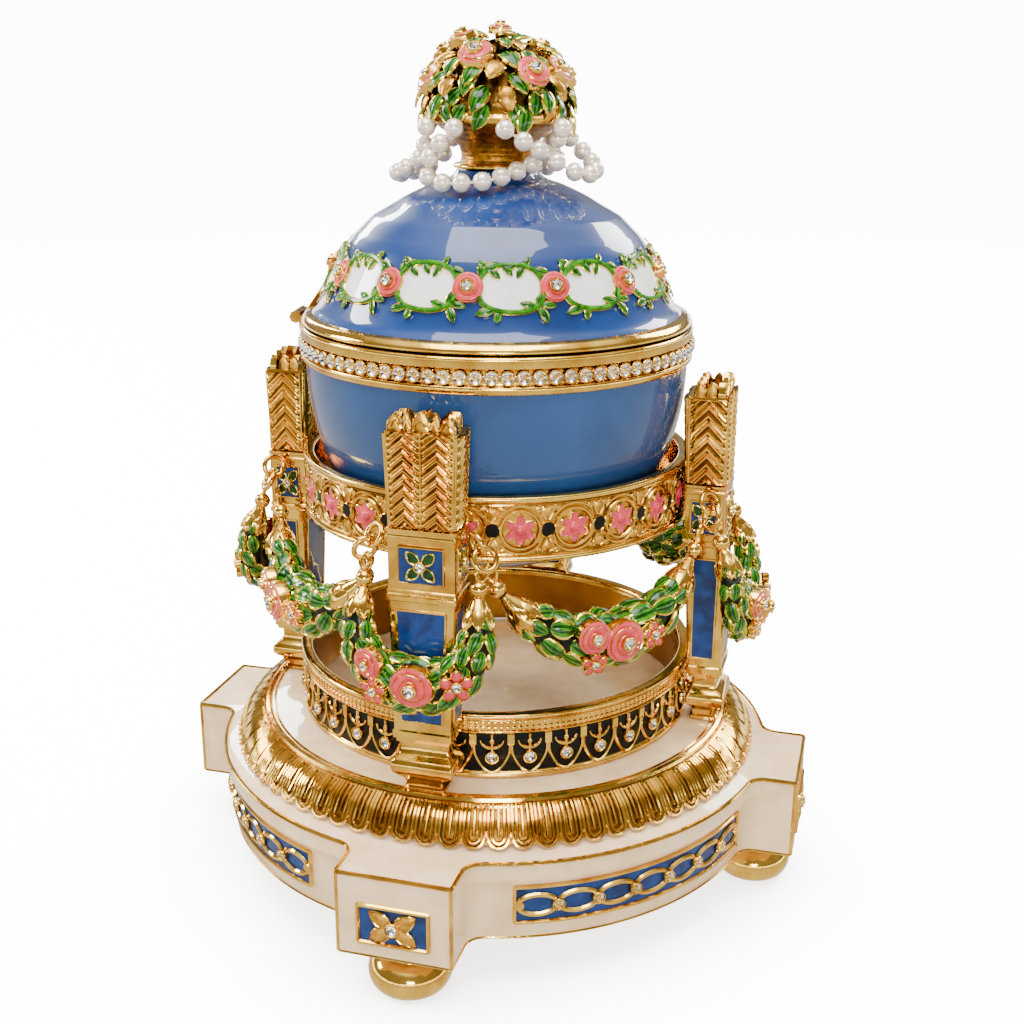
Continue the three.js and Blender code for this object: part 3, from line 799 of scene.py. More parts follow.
# A thin skin inside the gallery wall in darker brown gold, painted shade inside the ring
gallery += turned([(41.2, -84.4), (41.2, -74.0), (40.95, -72.4)], "lining_gold", 160, closed=False)
beads = 216
bead = pad(panel(0.9, 0.75, 0.15), [(1.0, -0.1), (0.9, 0.22), (0.55, 0.3)], "polished_gold")
for k in range(beads):
    for z in (-72.6, -73.7):
        gallery += laid(bead, on_round(43.0, z, (k + 0.5) * 360.0 / beads))
for z in (-74.45, -72.0, -83.9):
    gallery += turned(oval(0.28, 0.25, 8) + (43.1, z), "polished_gold", 216)

# %% Draw the frieze's tracery
bays = 36
frieze_radius = 42.8
bay = 2 * pi * 42.9 / bays
tracery = pad(panel(1.5, 2.5, 0.2) + (-bay / 2, -76.1), [(1.0, 0.0), (0.9, 0.5), (0.6, 0.55)],
              "polished_gold")
scallop = smooth_line([(-bay / 2 + 0.15, -77.2), (-bay / 2 + 0.35, -79.4), (-bay / 4, -82.2), (0.0, -83.3),
                       (bay / 4, -82.2), (bay / 2 - 0.35, -79.4), (bay / 2 - 0.15, -77.2)], 19)
tracery += wire(raised(scallop, 0.18), 0.3, sides=5)
for side in (-1, 1):
    arm = smooth_line([(0.0, -77.9), (side * 0.9, -77.9), (side * 1.9, -77.2), (side * 2.3, -76.3)], 9)
    tracery += wire(raised(arm, 0.2), np.linspace(0.42, 0.2, 9))
tracery += wire([(0, -75.0, 0.18), (0, -76.4, 0.22), (0, -79.0, 0.22)], 0.34)
tracery += shifted(pad(oval(0.55, 0.7, 10), [(1, 0.1), (0.8, 0.5), (0.4, 0.6)], "polished_gold"), up=-76.6)
tracery += shifted(stone(1.05), up=-79.9, out=0.55)
for k in range(bays):
    gallery += laid(tracery, on_round(frieze_radius, 0.0, (k + 0.5) * 360.0 / bays))
piece("gallery_ring", gallery, "stand", ["gallery"])

# %% [markdown]
# ## The cradle ring
# The ring that carries the egg: plain lips above and below a chased panel. Pink star flowers sit in gold
# circles, black ovals stand between them, and larger interlaced arcs fill the rest.

# %% Turn the ring
ring = rounded([(31.1, -39.9), (41.0, -39.9), (41.35, -39.5), (41.35, -38.9), (40.5, -38.5), (40.4, -28.2),
                (41.35, -27.9), (41.35, -27.1), (41.0, -26.8), (39.4, -26.8), (38.95, -27.2), (38.85, -38.0),
                (31.1, -38.2)], 0.3, 2)
cradle = turned(ring, "polished_gold", 192)
cradle += turned([(40.3, -38.5), (40.56, -38.45), (40.56, -28.25), (40.3, -28.2)], "chased_gold", 192)

# %% Chase one bay of the ring
def star(radius, count):
    a = np.linspace(0, 2 * pi, count, endpoint=False) + pi / 2
    reach = 0.58 + 0.42 * np.abs(np.cos(3 * (a - pi / 2))) ** 1.4
    return np.stack([radius * reach * np.cos(a), radius * reach * np.sin(a)], 1)


flowers = 24
first_flower = -82.6
chased_radius = 40.6
chased_middle = -33.35
bay_wide = 2 * pi * 40.75 / flowers
flower_bay = pad(star(3.25, 48),
                 [(1.0, 0.0), (1.0, 0.45), (0.93, 0.55), (0.87, 0.42), (0.5, 0.5), (0.3, 0.55)],
                 ["leaf_gold", "leaf_gold", "pink_enamel", "pink_enamel", "pink_enamel"])
flower_bay += turned([(0.0, 1.05), (0.75, 0.95), (1.1, 0.6), (1.15, 0.2)], "pink_enamel", 14, closed=False)
flower_bay += turned(oval(0.14, 0.14, 6) + (0.5, 0.85), "leaf_gold", 12)
flower_bay += wire(raised(oval(3.75, 3.75, 36), 0.35), 0.38, closed=True)
for up in (-1, 1):
    arch = np.radians(np.linspace(38.0, 142.0, 15))
    outer_arc = np.column_stack([4.75 * np.cos(arch), up * 4.75 * np.sin(arch)])
    flower_bay += wire(raised(outer_arc, 0.25), 0.28)
    for side in (-1, 1):
        tendril = smooth_line([(side * (bay_wide / 2 - 0.3), up * 1.9), (side * 4.5, up * 2.9),
                               (side * 4.2, up * 4.2), (side * 4.9, up * 4.5)], 10)
        flower_bay += wire(raised(tendril, 0.3), 0.28, sides=5)
        sprig = leaf(2.6, 1.7, **gilded, thick=0.4)
        flower_bay += shifted(sprig, across=side * (bay_wide / 2 - 0.1), up=up * 2.2, out=0.2,
                              turn=90.0 * up - side * up * 12.0)
        curl = leaf(1.9, 1.2, **gilded, thick=0.3)
        flower_bay += shifted(curl, across=side * 2.7, up=up * 3.7, out=0.2,
                              turn=90.0 * up - side * up * 62.0)
    ridge = [(side * bay_wide / 2, up * 4.9, 0.15) for side in (-1, 0, 1)]
    flower_bay += wire(ridge, 0.25, sides=5)
dot = pad(oval(1.45, 1.6, 18), [(1.0, 0.0), (1.0, 0.62), (0.93, 0.7), (0.86, 0.5), (0.4, 0.54)],
          ["polished_gold", "polished_gold", "polished_gold", "black_enamel"])
flower_bay += shifted(dot, across=bay_wide / 2)
for k in range(flowers):
    cradle += laid(flower_bay, on_round(chased_radius, chased_middle, first_flower + k * 360.0 / flowers))
piece("cradle_chased", cradle, "stand", ["cradle_ring"])

# %% [markdown]
# ## The egg's bowl
# A thin bowl with a gold band on its rim. The enamel shows the round shape through long soft reflections,
# so its profile is spun with many steps. The band holds a full row of stones between two polished lips.

# %% Spin the bowl
fullness = 2.15


def cup(radius, deep, count):
    depth = np.linspace(0.0, deep - 0.1, count)
    return np.stack([radius * (1 - (depth / deep) ** fullness) ** (1 / fullness), -7.0 - depth], 1)


outer = np.vstack([cup(40.1, 46.0, 40), [(0.02, -53.0)]])
inner = np.vstack([[(38.3, -0.15)], cup(38.3, 44.3, 30), [(0.02, -51.2)]])
bowl = turned(outer[::-1], "bowl_blue_enamel", 192, closed=False)
band = rounded([(40.0, -7.5), (40.8, -7.3), (41.15, -6.6), (41.05, -5.8), (40.45, -5.5), (40.45, -2.65),
                (41.0, -2.4), (41.05, -0.6), (40.6, -0.2)], 0.3, 3)
# The bowl's seam face is black, painted shade of the gap between bowl and lid
bowl += turned([(40.6, -0.2), (40.1, -0.15), (38.3, -0.15)], "black_enamel", 192, closed=False)
bowl += turned(band, "polished_gold", 192, closed=False)
# The inside of the bowl is shaded_gold, painted shade for the closed egg's dark interior
bowl += turned(inner, "shaded_gold", 128, closed=False)
stones = 86
stone_row_radius = 40.5
stone_row_height = -4.05
gem = stone(1.25, collar=False) + turned(oval(0.16, 0.22, 6) + (1.32, 0.1), "polished_gold", 16)
prong = pad(panel(0.34, 1.2, 0.1), [(1.0, 0.0), (0.8, 0.35), (0.4, 0.4)], "polished_gold")
for k in range(stones):
    angle = k * 360.0 / stones
    bowl += laid(shifted(gem, out=0.35), on_round(stone_row_radius, stone_row_height, angle))
    bowl += laid(prong, on_round(stone_row_radius, stone_row_height, angle + 180.0 / stones))
piece("bowl_enamelled", bowl, "stand", ["egg_bowl"])

# %% [markdown]
# ## The lid
# The lid is a thin dome that ends in a neck under the basket. Around it runs a belt of white ovals framed
# by green vines, with a rose between each two. The belt's parts are drawn flat and laid on the dome's slope.

# %% Spin the lid
lid_outer = smooth_line([(39.9, 0.25), (39.5, 0.9), (38.2, 2.4), (36.9, 4.0), (34.4, 8.9), (31.4, 14.9),
                         (29.6, 17.4), (28.0, 19.0), (25.7, 21.2), (24.5, 22.0), (21.4, 23.7), (18.7, 25.3),
                         (16.0, 26.6), (13.2, 27.8), (10.4, 28.7), (9.0, 29.6), (8.3, 30.6)], 96)
lid = turned(lid_outer, "lid_blue_enamel", 192, closed=False)
lid += turned([(8.3, 30.6), (6.0, 30.7), (0.02, 30.7)], "lid_blue_enamel", 64, closed=False)
# The lid's seam face is black, painted shade of the gap between lid and bowl
lid += turned([(38.1, 0.15), (40.3, 0.16)], "black_enamel", 192, closed=False)
rim = rounded([(40.3, 0.16), (40.5, 0.16), (40.85, 0.5), (40.6, 1.1), (39.8, 1.9), (38.3, 2.2)], 0.3, 3)
lid += turned(rim, "polished_gold", 192, closed=False)
# The inside of the lid is shaded_gold, painted shade for the closed egg's dark interior
lid += turned([(38.1, 0.15), (36.0, 3.5), (27.5, 16.9), (15.0, 24.9), (6.0, 26.4), (0.02, 26.8)],
              "shaded_gold", 128, closed=False)

# %% Lay the belt on the dome
belt_radius = 33.6
belt_height = 11.2
belt_run = np.interp(belt_height, lid_outer[:, 1], run_along(lid_outer))
first_oval = 276.8
rose_count = 13
half_cell = pi * belt_radius / rose_count
white = oval(6.1, 4.1, 40, power=2.2)
belt = pad(white, [(1.0, -0.15), (0.985, 0.25), (0.8, 0.32), (0.55, 0.34), (0.3, 0.34), (0.08, 0.34)],
           "white_enamel")


def vine(points):
    line = smooth_line(points, 24)
    gold = wire(raised(line, 0.3), 0.6, "leaf_gold", flat=0.8)
    return gold + wire(raised(line, 0.55), 0.46, "green_enamel", flat=0.9)


belt += vine([(-6.2, 0.4), (-5.6, 2.4), (-3.6, 4.0), (-0.6, 4.6), (2.4, 4.3), (4.8, 3.1), (6.2, 0.9)])
belt += vine([(-6.2, -0.8), (-5.4, -2.8), (-3.2, -4.1), (0.2, -4.6), (3.2, -4.2), (5.2, -2.9), (6.2, -0.8)])
for x, y, turn, length, width in (
        (-5.6, 2.9, 30, 3.9, 1.9), (-4.6, 3.9, -40, 3.3, 1.7), (-5.9, 2.4, 88, 2.6, 1.5),
        (-4.2, 3.9, 150, 2.6, 1.4), (-1.6, 4.5, -50, 2.9, 1.5), (2.4, 4.3, -118, 2.9, 1.5),
        (1.2, 4.6, -155, 2.6, 1.3), (2.8, 4.3, 60, 2.0, 1.2), (4.4, 3.5, -15, 3.3, 1.6),
        (-3.2, -4.2, -165, 3.5, 1.7), (-2.4, -4.4, -100, 2.4, 1.4), (4.6, -3.4, 70, 3.0, 1.6),
        (4.4, -3.7, 165, 3.2, 1.6), (4.9, -3.7, -68, 3.4, 1.6), (5.3, -3.2, -8, 2.8, 1.5)):
    belt += shifted(leaf(length, width), across=x, up=y, out=0.45, turn=turn)
belt += shifted(rose(2.95, 0.85, gem=0.34), across=half_cell, out=0.45)
for k in range(rose_count):
    angle = first_oval + (k - 0.5) * 360.0 / rose_count
    lid += laid(belt, on_profile(lid_outer, belt_run, belt_radius, angle, 0.5, 1.0))
piece("lid_enamelled", lid, "lid", ["egg_lid"])

# %% [markdown]
# ## The posts
# Each post is one casting: a moulded foot, a tapering shaft with blue panels, a block with a green
# four-petal flower, and a quiver whose feathers make rows of chevrons. The body is a stack of
# rectangular sections with softened corners, and the relief is laid on its flat faces.

# %% Stack the post's body
sections = [
    (-84.4, 8.2, 5.9, 48.0), (-83.8, 8.2, 5.9, 48.0), (-83.5, 7.3, 5.1, 48.0), (-82.6, 7.4, 5.2, 48.0),
    (-81.7, 8.4, 6.0, 48.1), (-80.9, 10.6, 7.2, 48.2), (-80.2, 12.2, 8.1, 48.2), (-79.2, 12.8, 8.35, 48.2),
    (-78.2, 12.5, 8.1, 48.2), (-77.5, 11.5, 7.0, 48.1), (-76.9, 10.3, 5.7, 47.9), (-76.2, 9.8, 4.9, 47.8),
    (-74.6, 9.6, 4.8, 47.8), (-74.1, 9.7, 4.9, 47.8), (-73.95, 10.9, 6.7, 47.8), (-73.2, 11.1, 7.0, 47.8),
    (-73.0, 11.9, 7.7, 47.8), (-71.6, 12.0, 7.8, 47.8), (-71.3, 11.5, 7.4, 47.7), (-45.1, 13.1, 7.9, 46.8),
    (-44.9, 13.9, 8.7, 46.6), (-44.1, 14.0, 8.8, 46.6), (-43.9, 13.5, 8.4, 46.5), (-43.5, 13.5, 8.4, 46.4),
    (-43.3, 13.9, 8.8, 46.4), (-42.9, 13.8, 8.8, 46.4), (-42.7, 13.3, 8.6, 46.3), (-32.9, 13.3, 8.6, 46.3),
    (-32.7, 13.9, 8.9, 46.3), (-32.2, 13.9, 8.9, 46.3), (-32.0, 13.5, 8.6, 46.3), (-31.6, 13.5, 8.6, 46.3),
    (-31.4, 13.9, 8.9, 46.3), (-30.9, 13.9, 8.9, 46.3), (-30.6, 12.4, 7.6, 46.3), (-12.9, 13.6, 8.4, 45.8),
    (-12.5, 13.2, 8.0, 45.8)]
body_rows = []
for z, wide, deep, centre in sections:
    body_rows.append(raised(panel(deep, wide, 0.45) + (centre, 0.0), z))
post = skin(np.array(body_rows), "polished_gold", around=True, cap_first=True, cap_last=True)


# %% Lay the blue panels
def slab(low_wide, high_wide, tall):
    low = low_wide / 2
    high = high_wide / 2
    top = tall / 2
    line = rounded([(-low, -top), (low, -top), (high, top), (-high, top)], 0.25, 2, closed=True)
    made = pad(line, [(1.0, -0.1), (0.99, 0.12), (0.7, 0.17), (0.3, 0.18)], "panel_blue_enamel")
    return made + wire(raised(line, 0.02), 0.26, closed=True)


middle = -58.1
block_middle = -37.8
post += laid(slab(8.2, 9.7, 22.6), on_flat((51.1, 0, middle), (0, 1, 0), (-0.65, 0, 26.2)))
post += laid(slab(8.2, 9.7, 22.6), on_flat((43.4, 0, middle), (0, -1, 0), (-1.15, 0, 26.2)))
for x, way in ((50.62, 1), (41.98, -1)):
    post += laid(slab(8.9, 8.9, 7.1), on_flat((x, 0, block_middle), (0, way, 0), (0, 0, 1)))
for side in (-1, 1):
    post += laid(slab(4.6, 5.0, 22.6),
                 on_flat((47.25, side * 6.16, middle), (-side, 0, 0), (-0.9, side * 0.8, 26.2)))
    post += laid(slab(5.4, 5.4, 7.1), on_flat((46.3, side * 6.67, block_middle), (-side, 0, 0), (0, 0, 1)))

# %% Set the block's flowers
block_flower = []
petal = pad(oval(1.8, 1.15, 20, 1.6) + (2.1, 0.0),
            [(1.0, 0.0), (1.0, 0.46), (0.84, 0.52), (0.76, 0.4), (0.4, 0.38)],
            ["leaf_gold", "leaf_gold", "leaf_gold", "deep_green_enamel"])
for turn in (45.0, 135.0, 225.0, 315.0):
    block_flower += shifted(petal, turn=turn)
block_flower += shifted(stone(0.92), out=0.7)
post += laid(block_flower, on_flat((50.62, 0, block_middle), (0, 1, 0), (0, 0, 1)))
narrow = [(points * (0.85, 1.0, 1.0), faces, names) for points, faces, names in block_flower]
for side in (-1, 1):
    post += laid(narrow, on_flat((46.3, side * 6.67, block_middle), (-side, 0, 0), (0, 0, 1)))


# %% Carve the chevrons
def feathers(low_wide, high_wide, tall, columns, pitch=2.3, slope=0.9):
    made = []
    wide = low_wide / columns
    levels_up = int(tall / pitch) + 3
    phases = [(0.0, -0.1), (0.16, 0.7), (0.3, 0.74), (0.44, 0.1), (0.54, 0.1), (0.66, 0.6), (0.78, 0.6),
              (0.92, -0.1)]
    # The valley rows take shaded_gold, painted shade that draws dark lines where the feathers dip
    tones = (["polished_gold"] * 3 + ["shaded_gold"]) * 2
    run = np.array([(k + phase) * pitch for k in range(-1, levels_up) for phase, height in phases])
    rise = np.array([height for k in range(-1, levels_up) for phase, height in phases])
    u = np.linspace(-0.5, 0.5, 11)
    for c in range(columns):
        up = np.clip(run[:, None] - slope * np.abs(u)[None, :] * wide, 0.0, tall)
        fade = np.clip((0.5 - np.abs(u)) * 8.0, 0.0, 1.0)[None, :]
        out = rise[:, None] * fade
        out = np.where(np.abs(u)[None, :] < 0.02, out + 0.12, out)
        across = (u[None, :] + c - (columns - 1) / 2) * wide * (1 + (high_wide / low_wide - 1) * up / tall)
        tone_rows = (tones * (levels_up + 1))[:len(run) - 1]
        made += skin(np.stack([across, up, out], -1), tone_rows)
    for c in range(columns + 1):
        edge = (c / columns - 0.5) * 0.98
        made += wire([(edge * low_wide, 0.0, 0.1), (edge * (low_wide + high_wide) / 2, tall / 2, 0.1),
                      (edge * high_wide, tall, 0.1)], 0.3)
    return made


post += laid(feathers(12.2, 13.4, 18.1, 2), on_flat((50.12, 0, -30.5), (0, 1, 0), (-0.1, 0, 17.6)))
post += laid(feathers(12.2, 13.4, 17.6, 2), on_flat((42.48, 0, -30.5), (0, -1, 0), (-0.9, 0, 17.6)))
for side in (-1, 1):
    place = on_flat((46.3, side * 6.22, -30.5), (-side, 0, 0), (-0.5, side * 0.6, 17.6))
    post += laid(feathers(7.3, 8.0, 17.6, 1, 3.4, 1.1), place)

# %% Add the arrow tips and the ring eyes
def arrow_tip(length, wide, thick, lean, origin, across):
    tip = leaf(length, wide, arch=0.0, **gilded, thick=thick)
    return laid(shifted(tip, turn=90.0 + lean), on_flat(origin, across, (0, 0, 1)))


for y, wide, top, lean in ((-4.8, 3.2, -9.5, 8.0), (-2.6, 1.7, -8.9, 3.0), (0.0, 3.9, -8.6, 0.0),
                           (2.6, 1.7, -8.9, -3.0), (4.8, 3.2, -9.5, -8.0)):
    post += arrow_tip(top + 14.2, wide, 1.3, lean, (49.3, y, -14.2), (0, 1, 0))
    barb = [(-wide * 0.36, 1.7, 0.4), (0.0, 3.2, 0.5), (wide * 0.36, 1.7, 0.4)]
    post += laid(wire(barb, 0.22, sides=5), on_flat((49.3, y, -13.6), (0, 1, 0), (0, 0, 1)))
for k in (-1, 0, 1):
    post += arrow_tip(4.0, 3.6, 1.2, 0.0, (43.5, k * 4.1, -13.6), (0, -1, 0))
for side in (-1, 1):
    for x in (44.2, 46.6):
        post += arrow_tip(4.0, 2.5, 1.2, 0.0, (x, side * 5.7, -13.6), (-side, 0, 0))
    eye_ring = oval(0.75, 0.75, 14)
    eye_line = np.column_stack([eye_ring[:, 0] + 47.0, np.full(14, side * 7.15), eye_ring[:, 1] - 32.3])
    post += wire(eye_line, 0.28, closed=True, out=(0, 1, 0))
around_stand("post_cast_{}", "post_{}", post)

# %% [markdown]
# ## Chain rings
# Two round wire rings hang at each side of a post, one through the other, and carry the garlands.

# %% Bend the rings
rings = 0
for side, letter in ((1, "a"), (-1, "b")):
    upper_centre = np.array([47.9, side * 10.1, -33.4])
    lower_centre = np.array([48.5, side * 11.8, -36.0])
    a_way = unit(lower_centre - upper_centre)
    b_way = unit(np.cross(a_way, (1.0, 0.0, 0.0)))
    c_way = np.cross(a_way, b_way)
    t = np.linspace(0, 2 * pi, 36, endpoint=False)[:, None]
    for centre, slanted, level_name in ((upper_centre, b_way + c_way, "upper"),
                                        (lower_centre, b_way - c_way, "lower")):
        other = unit(slanted)
        line = centre + 2.2 * (np.cos(t) * a_way + np.sin(t) * other)
        parts = wire(line, 0.58, sides=10, closed=True, out=np.cross(a_way, other))
        pattern = "ring_{}_" + letter + "_" + level_name
        around_stand("chain_" + pattern, pattern, parts)
        rings += len(four_sides)
print("rings:", rings)

# %% [markdown]
# ## Garlands
# Wreaths hang in front of the posts and swags between them: a thick rope of laurel leaves that point down
# to the middle, with roses in the middle and a gold cap, ball and eye at each end.
# The leaves are laid in rings round a rope painted near black as the shade between them, each ring turned
# half a leaf, as real laurel is tied.

# %% Tie a garland
rope_share = 0.86
degrees_per_leaf = 54.0


def garland(stations, leaf_long, spread, seed, crowd):
    stations = np.array(stations, float)
    line = smooth_line(stations, 80)
    at = line[:, :3]
    half = line[:, 3]
    thick = line[:, 4]
    along = unit(np.gradient(at, axis=0))
    face = line[:, 5:8]
    face = unit(face - along * np.sum(face * along, 1, keepdims=True))
    side = np.cross(along, face)
    run = run_along(at)
    ring_angle = np.linspace(0, 2 * pi, 20, endpoint=False)
    grid = at[:, None] + rope_share * (
        half[:, None, None] * np.cos(ring_angle)[None, :, None] * side[:, None]
        + thick[:, None, None] * np.sin(ring_angle)[None, :, None] * face[:, None])
    # The rope is near-black green: painted shade between the leaves
    made = skin(grid, "dark_green_enamel", around=True, cap_first=True, cap_last=True)
    chance = np.random.default_rng(seed)
    middle_run = run[-1] / 2
    steps = int(middle_run / crowd)
    count = max(3, int(round(spread / degrees_per_leaf)))
    for way in (-1, 1):
        for k in range(steps + 1):
            where = middle_run + way * (middle_run * 0.99 - k * middle_run * 0.97 / steps)
            i = int(np.clip(np.searchsorted(run, where), 1, len(run) - 2))
            size = float(np.clip(half[i] / 4.7, 0.42, 1.0))
            for c in range(count + k % 2):
                turn = radians((c - (count + k % 2 - 1) / 2) * spread / count)
                turn += chance.uniform(-0.1, 0.1)
                sine = sin(turn)
                cosine = cos(turn)
                spot = (at[i] + side[i] * sine * half[i] * rope_share
                        + face[i] * cosine * thick[i] * rope_share)
                out = unit(side[i] * sine / half[i] + face[i] * cosine / thick[i])
                splay = side[i] * cosine * half[i] - face[i] * sine * thick[i]
                lean = 0.30 * sine + chance.uniform(-0.42, 0.42)
                way_along = -way * along[i] + unit(splay) * lean + out * 0.4
                way_along = unit(way_along - out * (way_along @ out) * 0.6)
                blade = leaf(leaf_long * size * chance.uniform(0.85, 1.1), leaf_long * 0.64 * size, arch=0.2,
                             droop=0.06, thick=0.5)
                made += laid(blade, on_flat(spot - way_along * 1.0, way_along, np.cross(out, way_along)))
    return made


def ball(centre, radius, finish, steps):
    a = np.linspace(-pi / 2, pi / 2, 10)
    parts = turned(np.stack([radius * np.cos(a), radius * np.sin(a)], 1), finish, steps, closed=False)
    return [(points + np.array(centre, float), faces, names) for points, faces, names in parts]


def cap_and_eye(start, neck, bead, loop, face, wide):
    start, neck, bead, loop = (np.array(v, float) for v in (start, neck, bead, loop))
    face = np.array(face, float)
    line = smooth_line([start, start * 0.45 + neck * 0.55, neck], 9)
    size = np.interp(np.linspace(0, 1, 9), [0, 0.25, 0.6, 0.85, 1.0],
                     [wide, wide * 1.02, wide * 0.72, 1.3, 0.95])
    made = wire(line, size, sides=14, out=face)
    back_way = unit(start - neck)
    for c in range(6):
        a = c * pi / 3
        side = np.cross(back_way, unit(face - back_way * (face @ back_way)))
        up = np.cross(side, back_way)
        out = unit(cos(a) * up + sin(a) * side)
        spot = neck * 0.55 + start * 0.45 + out * wide * 0.72
        way = unit(back_way + out * 0.28)
        petal = leaf(wide * 1.95, wide * 1.15, arch=0.1, edge="polished_gold", face="polished_gold",
                     thick=0.5)
        made += laid(petal, on_flat(spot, way, np.cross(out, way)))
    made += ball(bead, 1.75, "polished_gold", 14)
    t = np.linspace(0, 2 * pi, 20, endpoint=False)
    rise = loop - bead
    long = np.linalg.norm(rise)
    rise = rise / long
    across = unit(np.cross(rise, face))
    loop_line = (bead + rise * (1.4 + (long - 1.4) * (1 - np.cos(t[:, None])) / 2)
                 + across * 1.35 * np.sin(t[:, None]) * np.sqrt((1.15 - np.cos(t[:, None])) / 2.15))
    made += wire(loop_line, 0.42, sides=8, closed=True, out=face)
    return made


# %% Hang the wreaths
wreath_half = [(0.0, -59.9, 4.7, 2.8, 54.8), (5.8, -58.6, 4.6, 2.8, 54.7), (10.2, -54.6, 3.9, 2.8, 54.2),
               (11.8, -49.4, 3.3, 2.6, 53.3), (11.6, -45.6, 2.5, 2.1, 52.3)]
stations = [(x, way * y, z, half, thick, 1.0, way * 0.12 * y / 11, 0.0)
            for way, line in ((-1, wreath_half[::-1]), (1, wreath_half[1:])) for y, z, half, thick, x in line]
wreath = garland(stations, 6.2, 235.0, 7, 3.4)
for side in (-1, 1):
    wreath += cap_and_eye((52.3, side * 11.6, -46.2), (51.0, side * 11.2, -42.6), (50.6, side * 11.2, -41.2),
                          (49.3, side * 11.6, -37.2), (1.0, side * 0.3, 0.0), 2.3)
for y, z, bloom in ((0.8, -58.4, rose(4.2, 1.3, gem=0.26)), (-7.8, -54.8, rose(3.1, 1.1, gem=0.26)),
                    (-7.0, -60.3, star_flower(2.9)), (9.2, -57.4, star_flower(3.3))):
    wreath += laid(bloom, on_flat((58.9 - abs(y) * 0.06, y, z), (-y / 24.0, 1, 0), (0.08, 0, 1)))
around_stand("laurel_wreath_{}", "wreath_{}", wreath)

# %% Hang the swags
swag_half = [(0.0, -55.6, 4.9, 45.6), (6.0, -55.3, 5.2, 45.6), (12.0, -53.7, 4.6, 46.0),
             (17.5, -51.5, 4.1, 46.4), (21.8, -48.8, 3.2, 46.8)]


def swag_point(angle, z, radius):
    a = radians(angle)
    return (radius * cos(a), radius * sin(a), z)


stations = [(*swag_point(way * a, z, r), half, half * 0.8, *swag_point(way * a, 0.0, 1.0))
            for way, line in ((-1, swag_half[::-1]), (1, swag_half[1:])) for a, z, half, r in line]
swag = garland(stations, 7.2, 360.0, 11, 3.9)
for side in (-1, 1):
    swag += cap_and_eye(swag_point(side * 22.0, -48.8, 46.8), swag_point(side * 27.4, -44.2, 47.1),
                        swag_point(side * 28.9, -42.7, 47.2), swag_point(side * 31.0, -37.6, 48.2),
                        swag_point(side * 28.0, 0.0, 1.0), 2.7)
for angle, z, tilt, bloom in (
        (-7.6, -52.4, 0.0, rose(3.4, 1.1, gem=0.26)), (-0.4, -54.2, 0.0, rose(4.2, 1.3, gem=0.26)),
        (8.0, -54.6, 0.0, star_flower(2.9)), (-7.4, -57.9, 0.35, star_flower(2.8))):
    across = (-sin(radians(angle)), cos(radians(angle)), 0)
    swag += laid(bloom, on_flat(swag_point(angle, z, 51.0), across, (tilt, 0, 1)))
gaps = ("right_to_back", "back_to_left", "left_to_front", "front_to_right")
around_stand("laurel_swag_{}", "swag_{}", swag, gaps, 45.0)

# %% [markdown]
# ## The basket and its flowers
# A gilded basket stands on the lid's neck, filled with a dome of leaves, twigs and roses.

# %% Spin the basket
basket_line = smooth_line([(8.0, 31.5), (7.4, 32.6), (7.4, 34.0), (8.2, 35.8), (9.9, 37.5), (12.3, 39.2),
                           (13.4, 40.2)], 48)
basket_line[:, 0] += 0.04 * np.sin(np.linspace(0, 22 * pi, 48))
basket = turned(basket_line, "basket_weave_gold", 96, closed=False)
basket += turned(rounded([(6.5, 30.9), (8.9, 30.9), (9.0, 31.5), (8.2, 32.0), (6.5, 32.0)], 0.25, 2),
                 "polished_gold", 96)
basket += turned(rounded([(12.9, 39.9), (14.1, 39.9), (14.3, 40.8), (14.2, 42.2), (12.9, 42.2)], 0.3, 2),
                 "polished_gold", 96)
# The basket's top disc is shaded_gold, painted shade under the bouquet
basket += turned([(13.0, 41.0), (6.0, 41.2), (0.02, 41.2)], "shaded_gold", 64, closed=False)
piece("basket_gilded", basket, "lid", ["flower_basket"])

# %% Fill it with leaves and roses
chance = np.random.default_rng(5)
heart = np.array([0.0, 0.0, 43.0])
rise = np.radians(np.linspace(-4.0, 90.0, 20))
mound_line = np.stack([13.6 * np.cos(rise), 42.6 + 12.6 * np.sin(rise)], 1)
# The mound under the leaves is shaded_gold, painted shade in the gaps between leaves and roses
mound = turned(mound_line, "shaded_gold", 64, closed=False)
bouquet = [(points + chance.normal(0, 0.28, points.shape), faces, names) for points, faces, names in mound]


def outward(polar, up):
    return np.array([cos(up) * cos(polar), cos(up) * sin(polar), sin(up)])


for level_angle, count, gold_every in ((3, 19, 6), (15, 19, 4), (28, 16, 4), (41, 14, 4), (54, 11, 4),
                                       (67, 8, 4), (80, 5, 5)):
    for k in range(count):
        a = 2 * pi * (k + 0.5 * (level_angle % 2)) / count + chance.uniform(-0.12, 0.12)
        e = radians(level_angle + chance.uniform(-4, 4))
        out = outward(a, e)
        fall = outward(a, e - pi / 2)
        side = np.cross(out, fall)
        twist = chance.uniform(-0.8, 0.8)
        way = unit(fall + side * twist + out * chance.uniform(0.1, 0.5))
        golden = k % gold_every == gold_every - 1
        blade = leaf(chance.uniform(4.8, 6.2), chance.uniform(3.2, 4.0), arch=0.2, droop=0.12, thick=0.4,
                     **(gilded if golden else {}))
        spot = heart + out * (13.4 + chance.uniform(0.0, 1.0)) * (1.0, 1.0, 0.93)
        normal = unit(out - way * (out @ way))
        bouquet += laid(blade, on_flat(spot, way, np.cross(normal, way)))
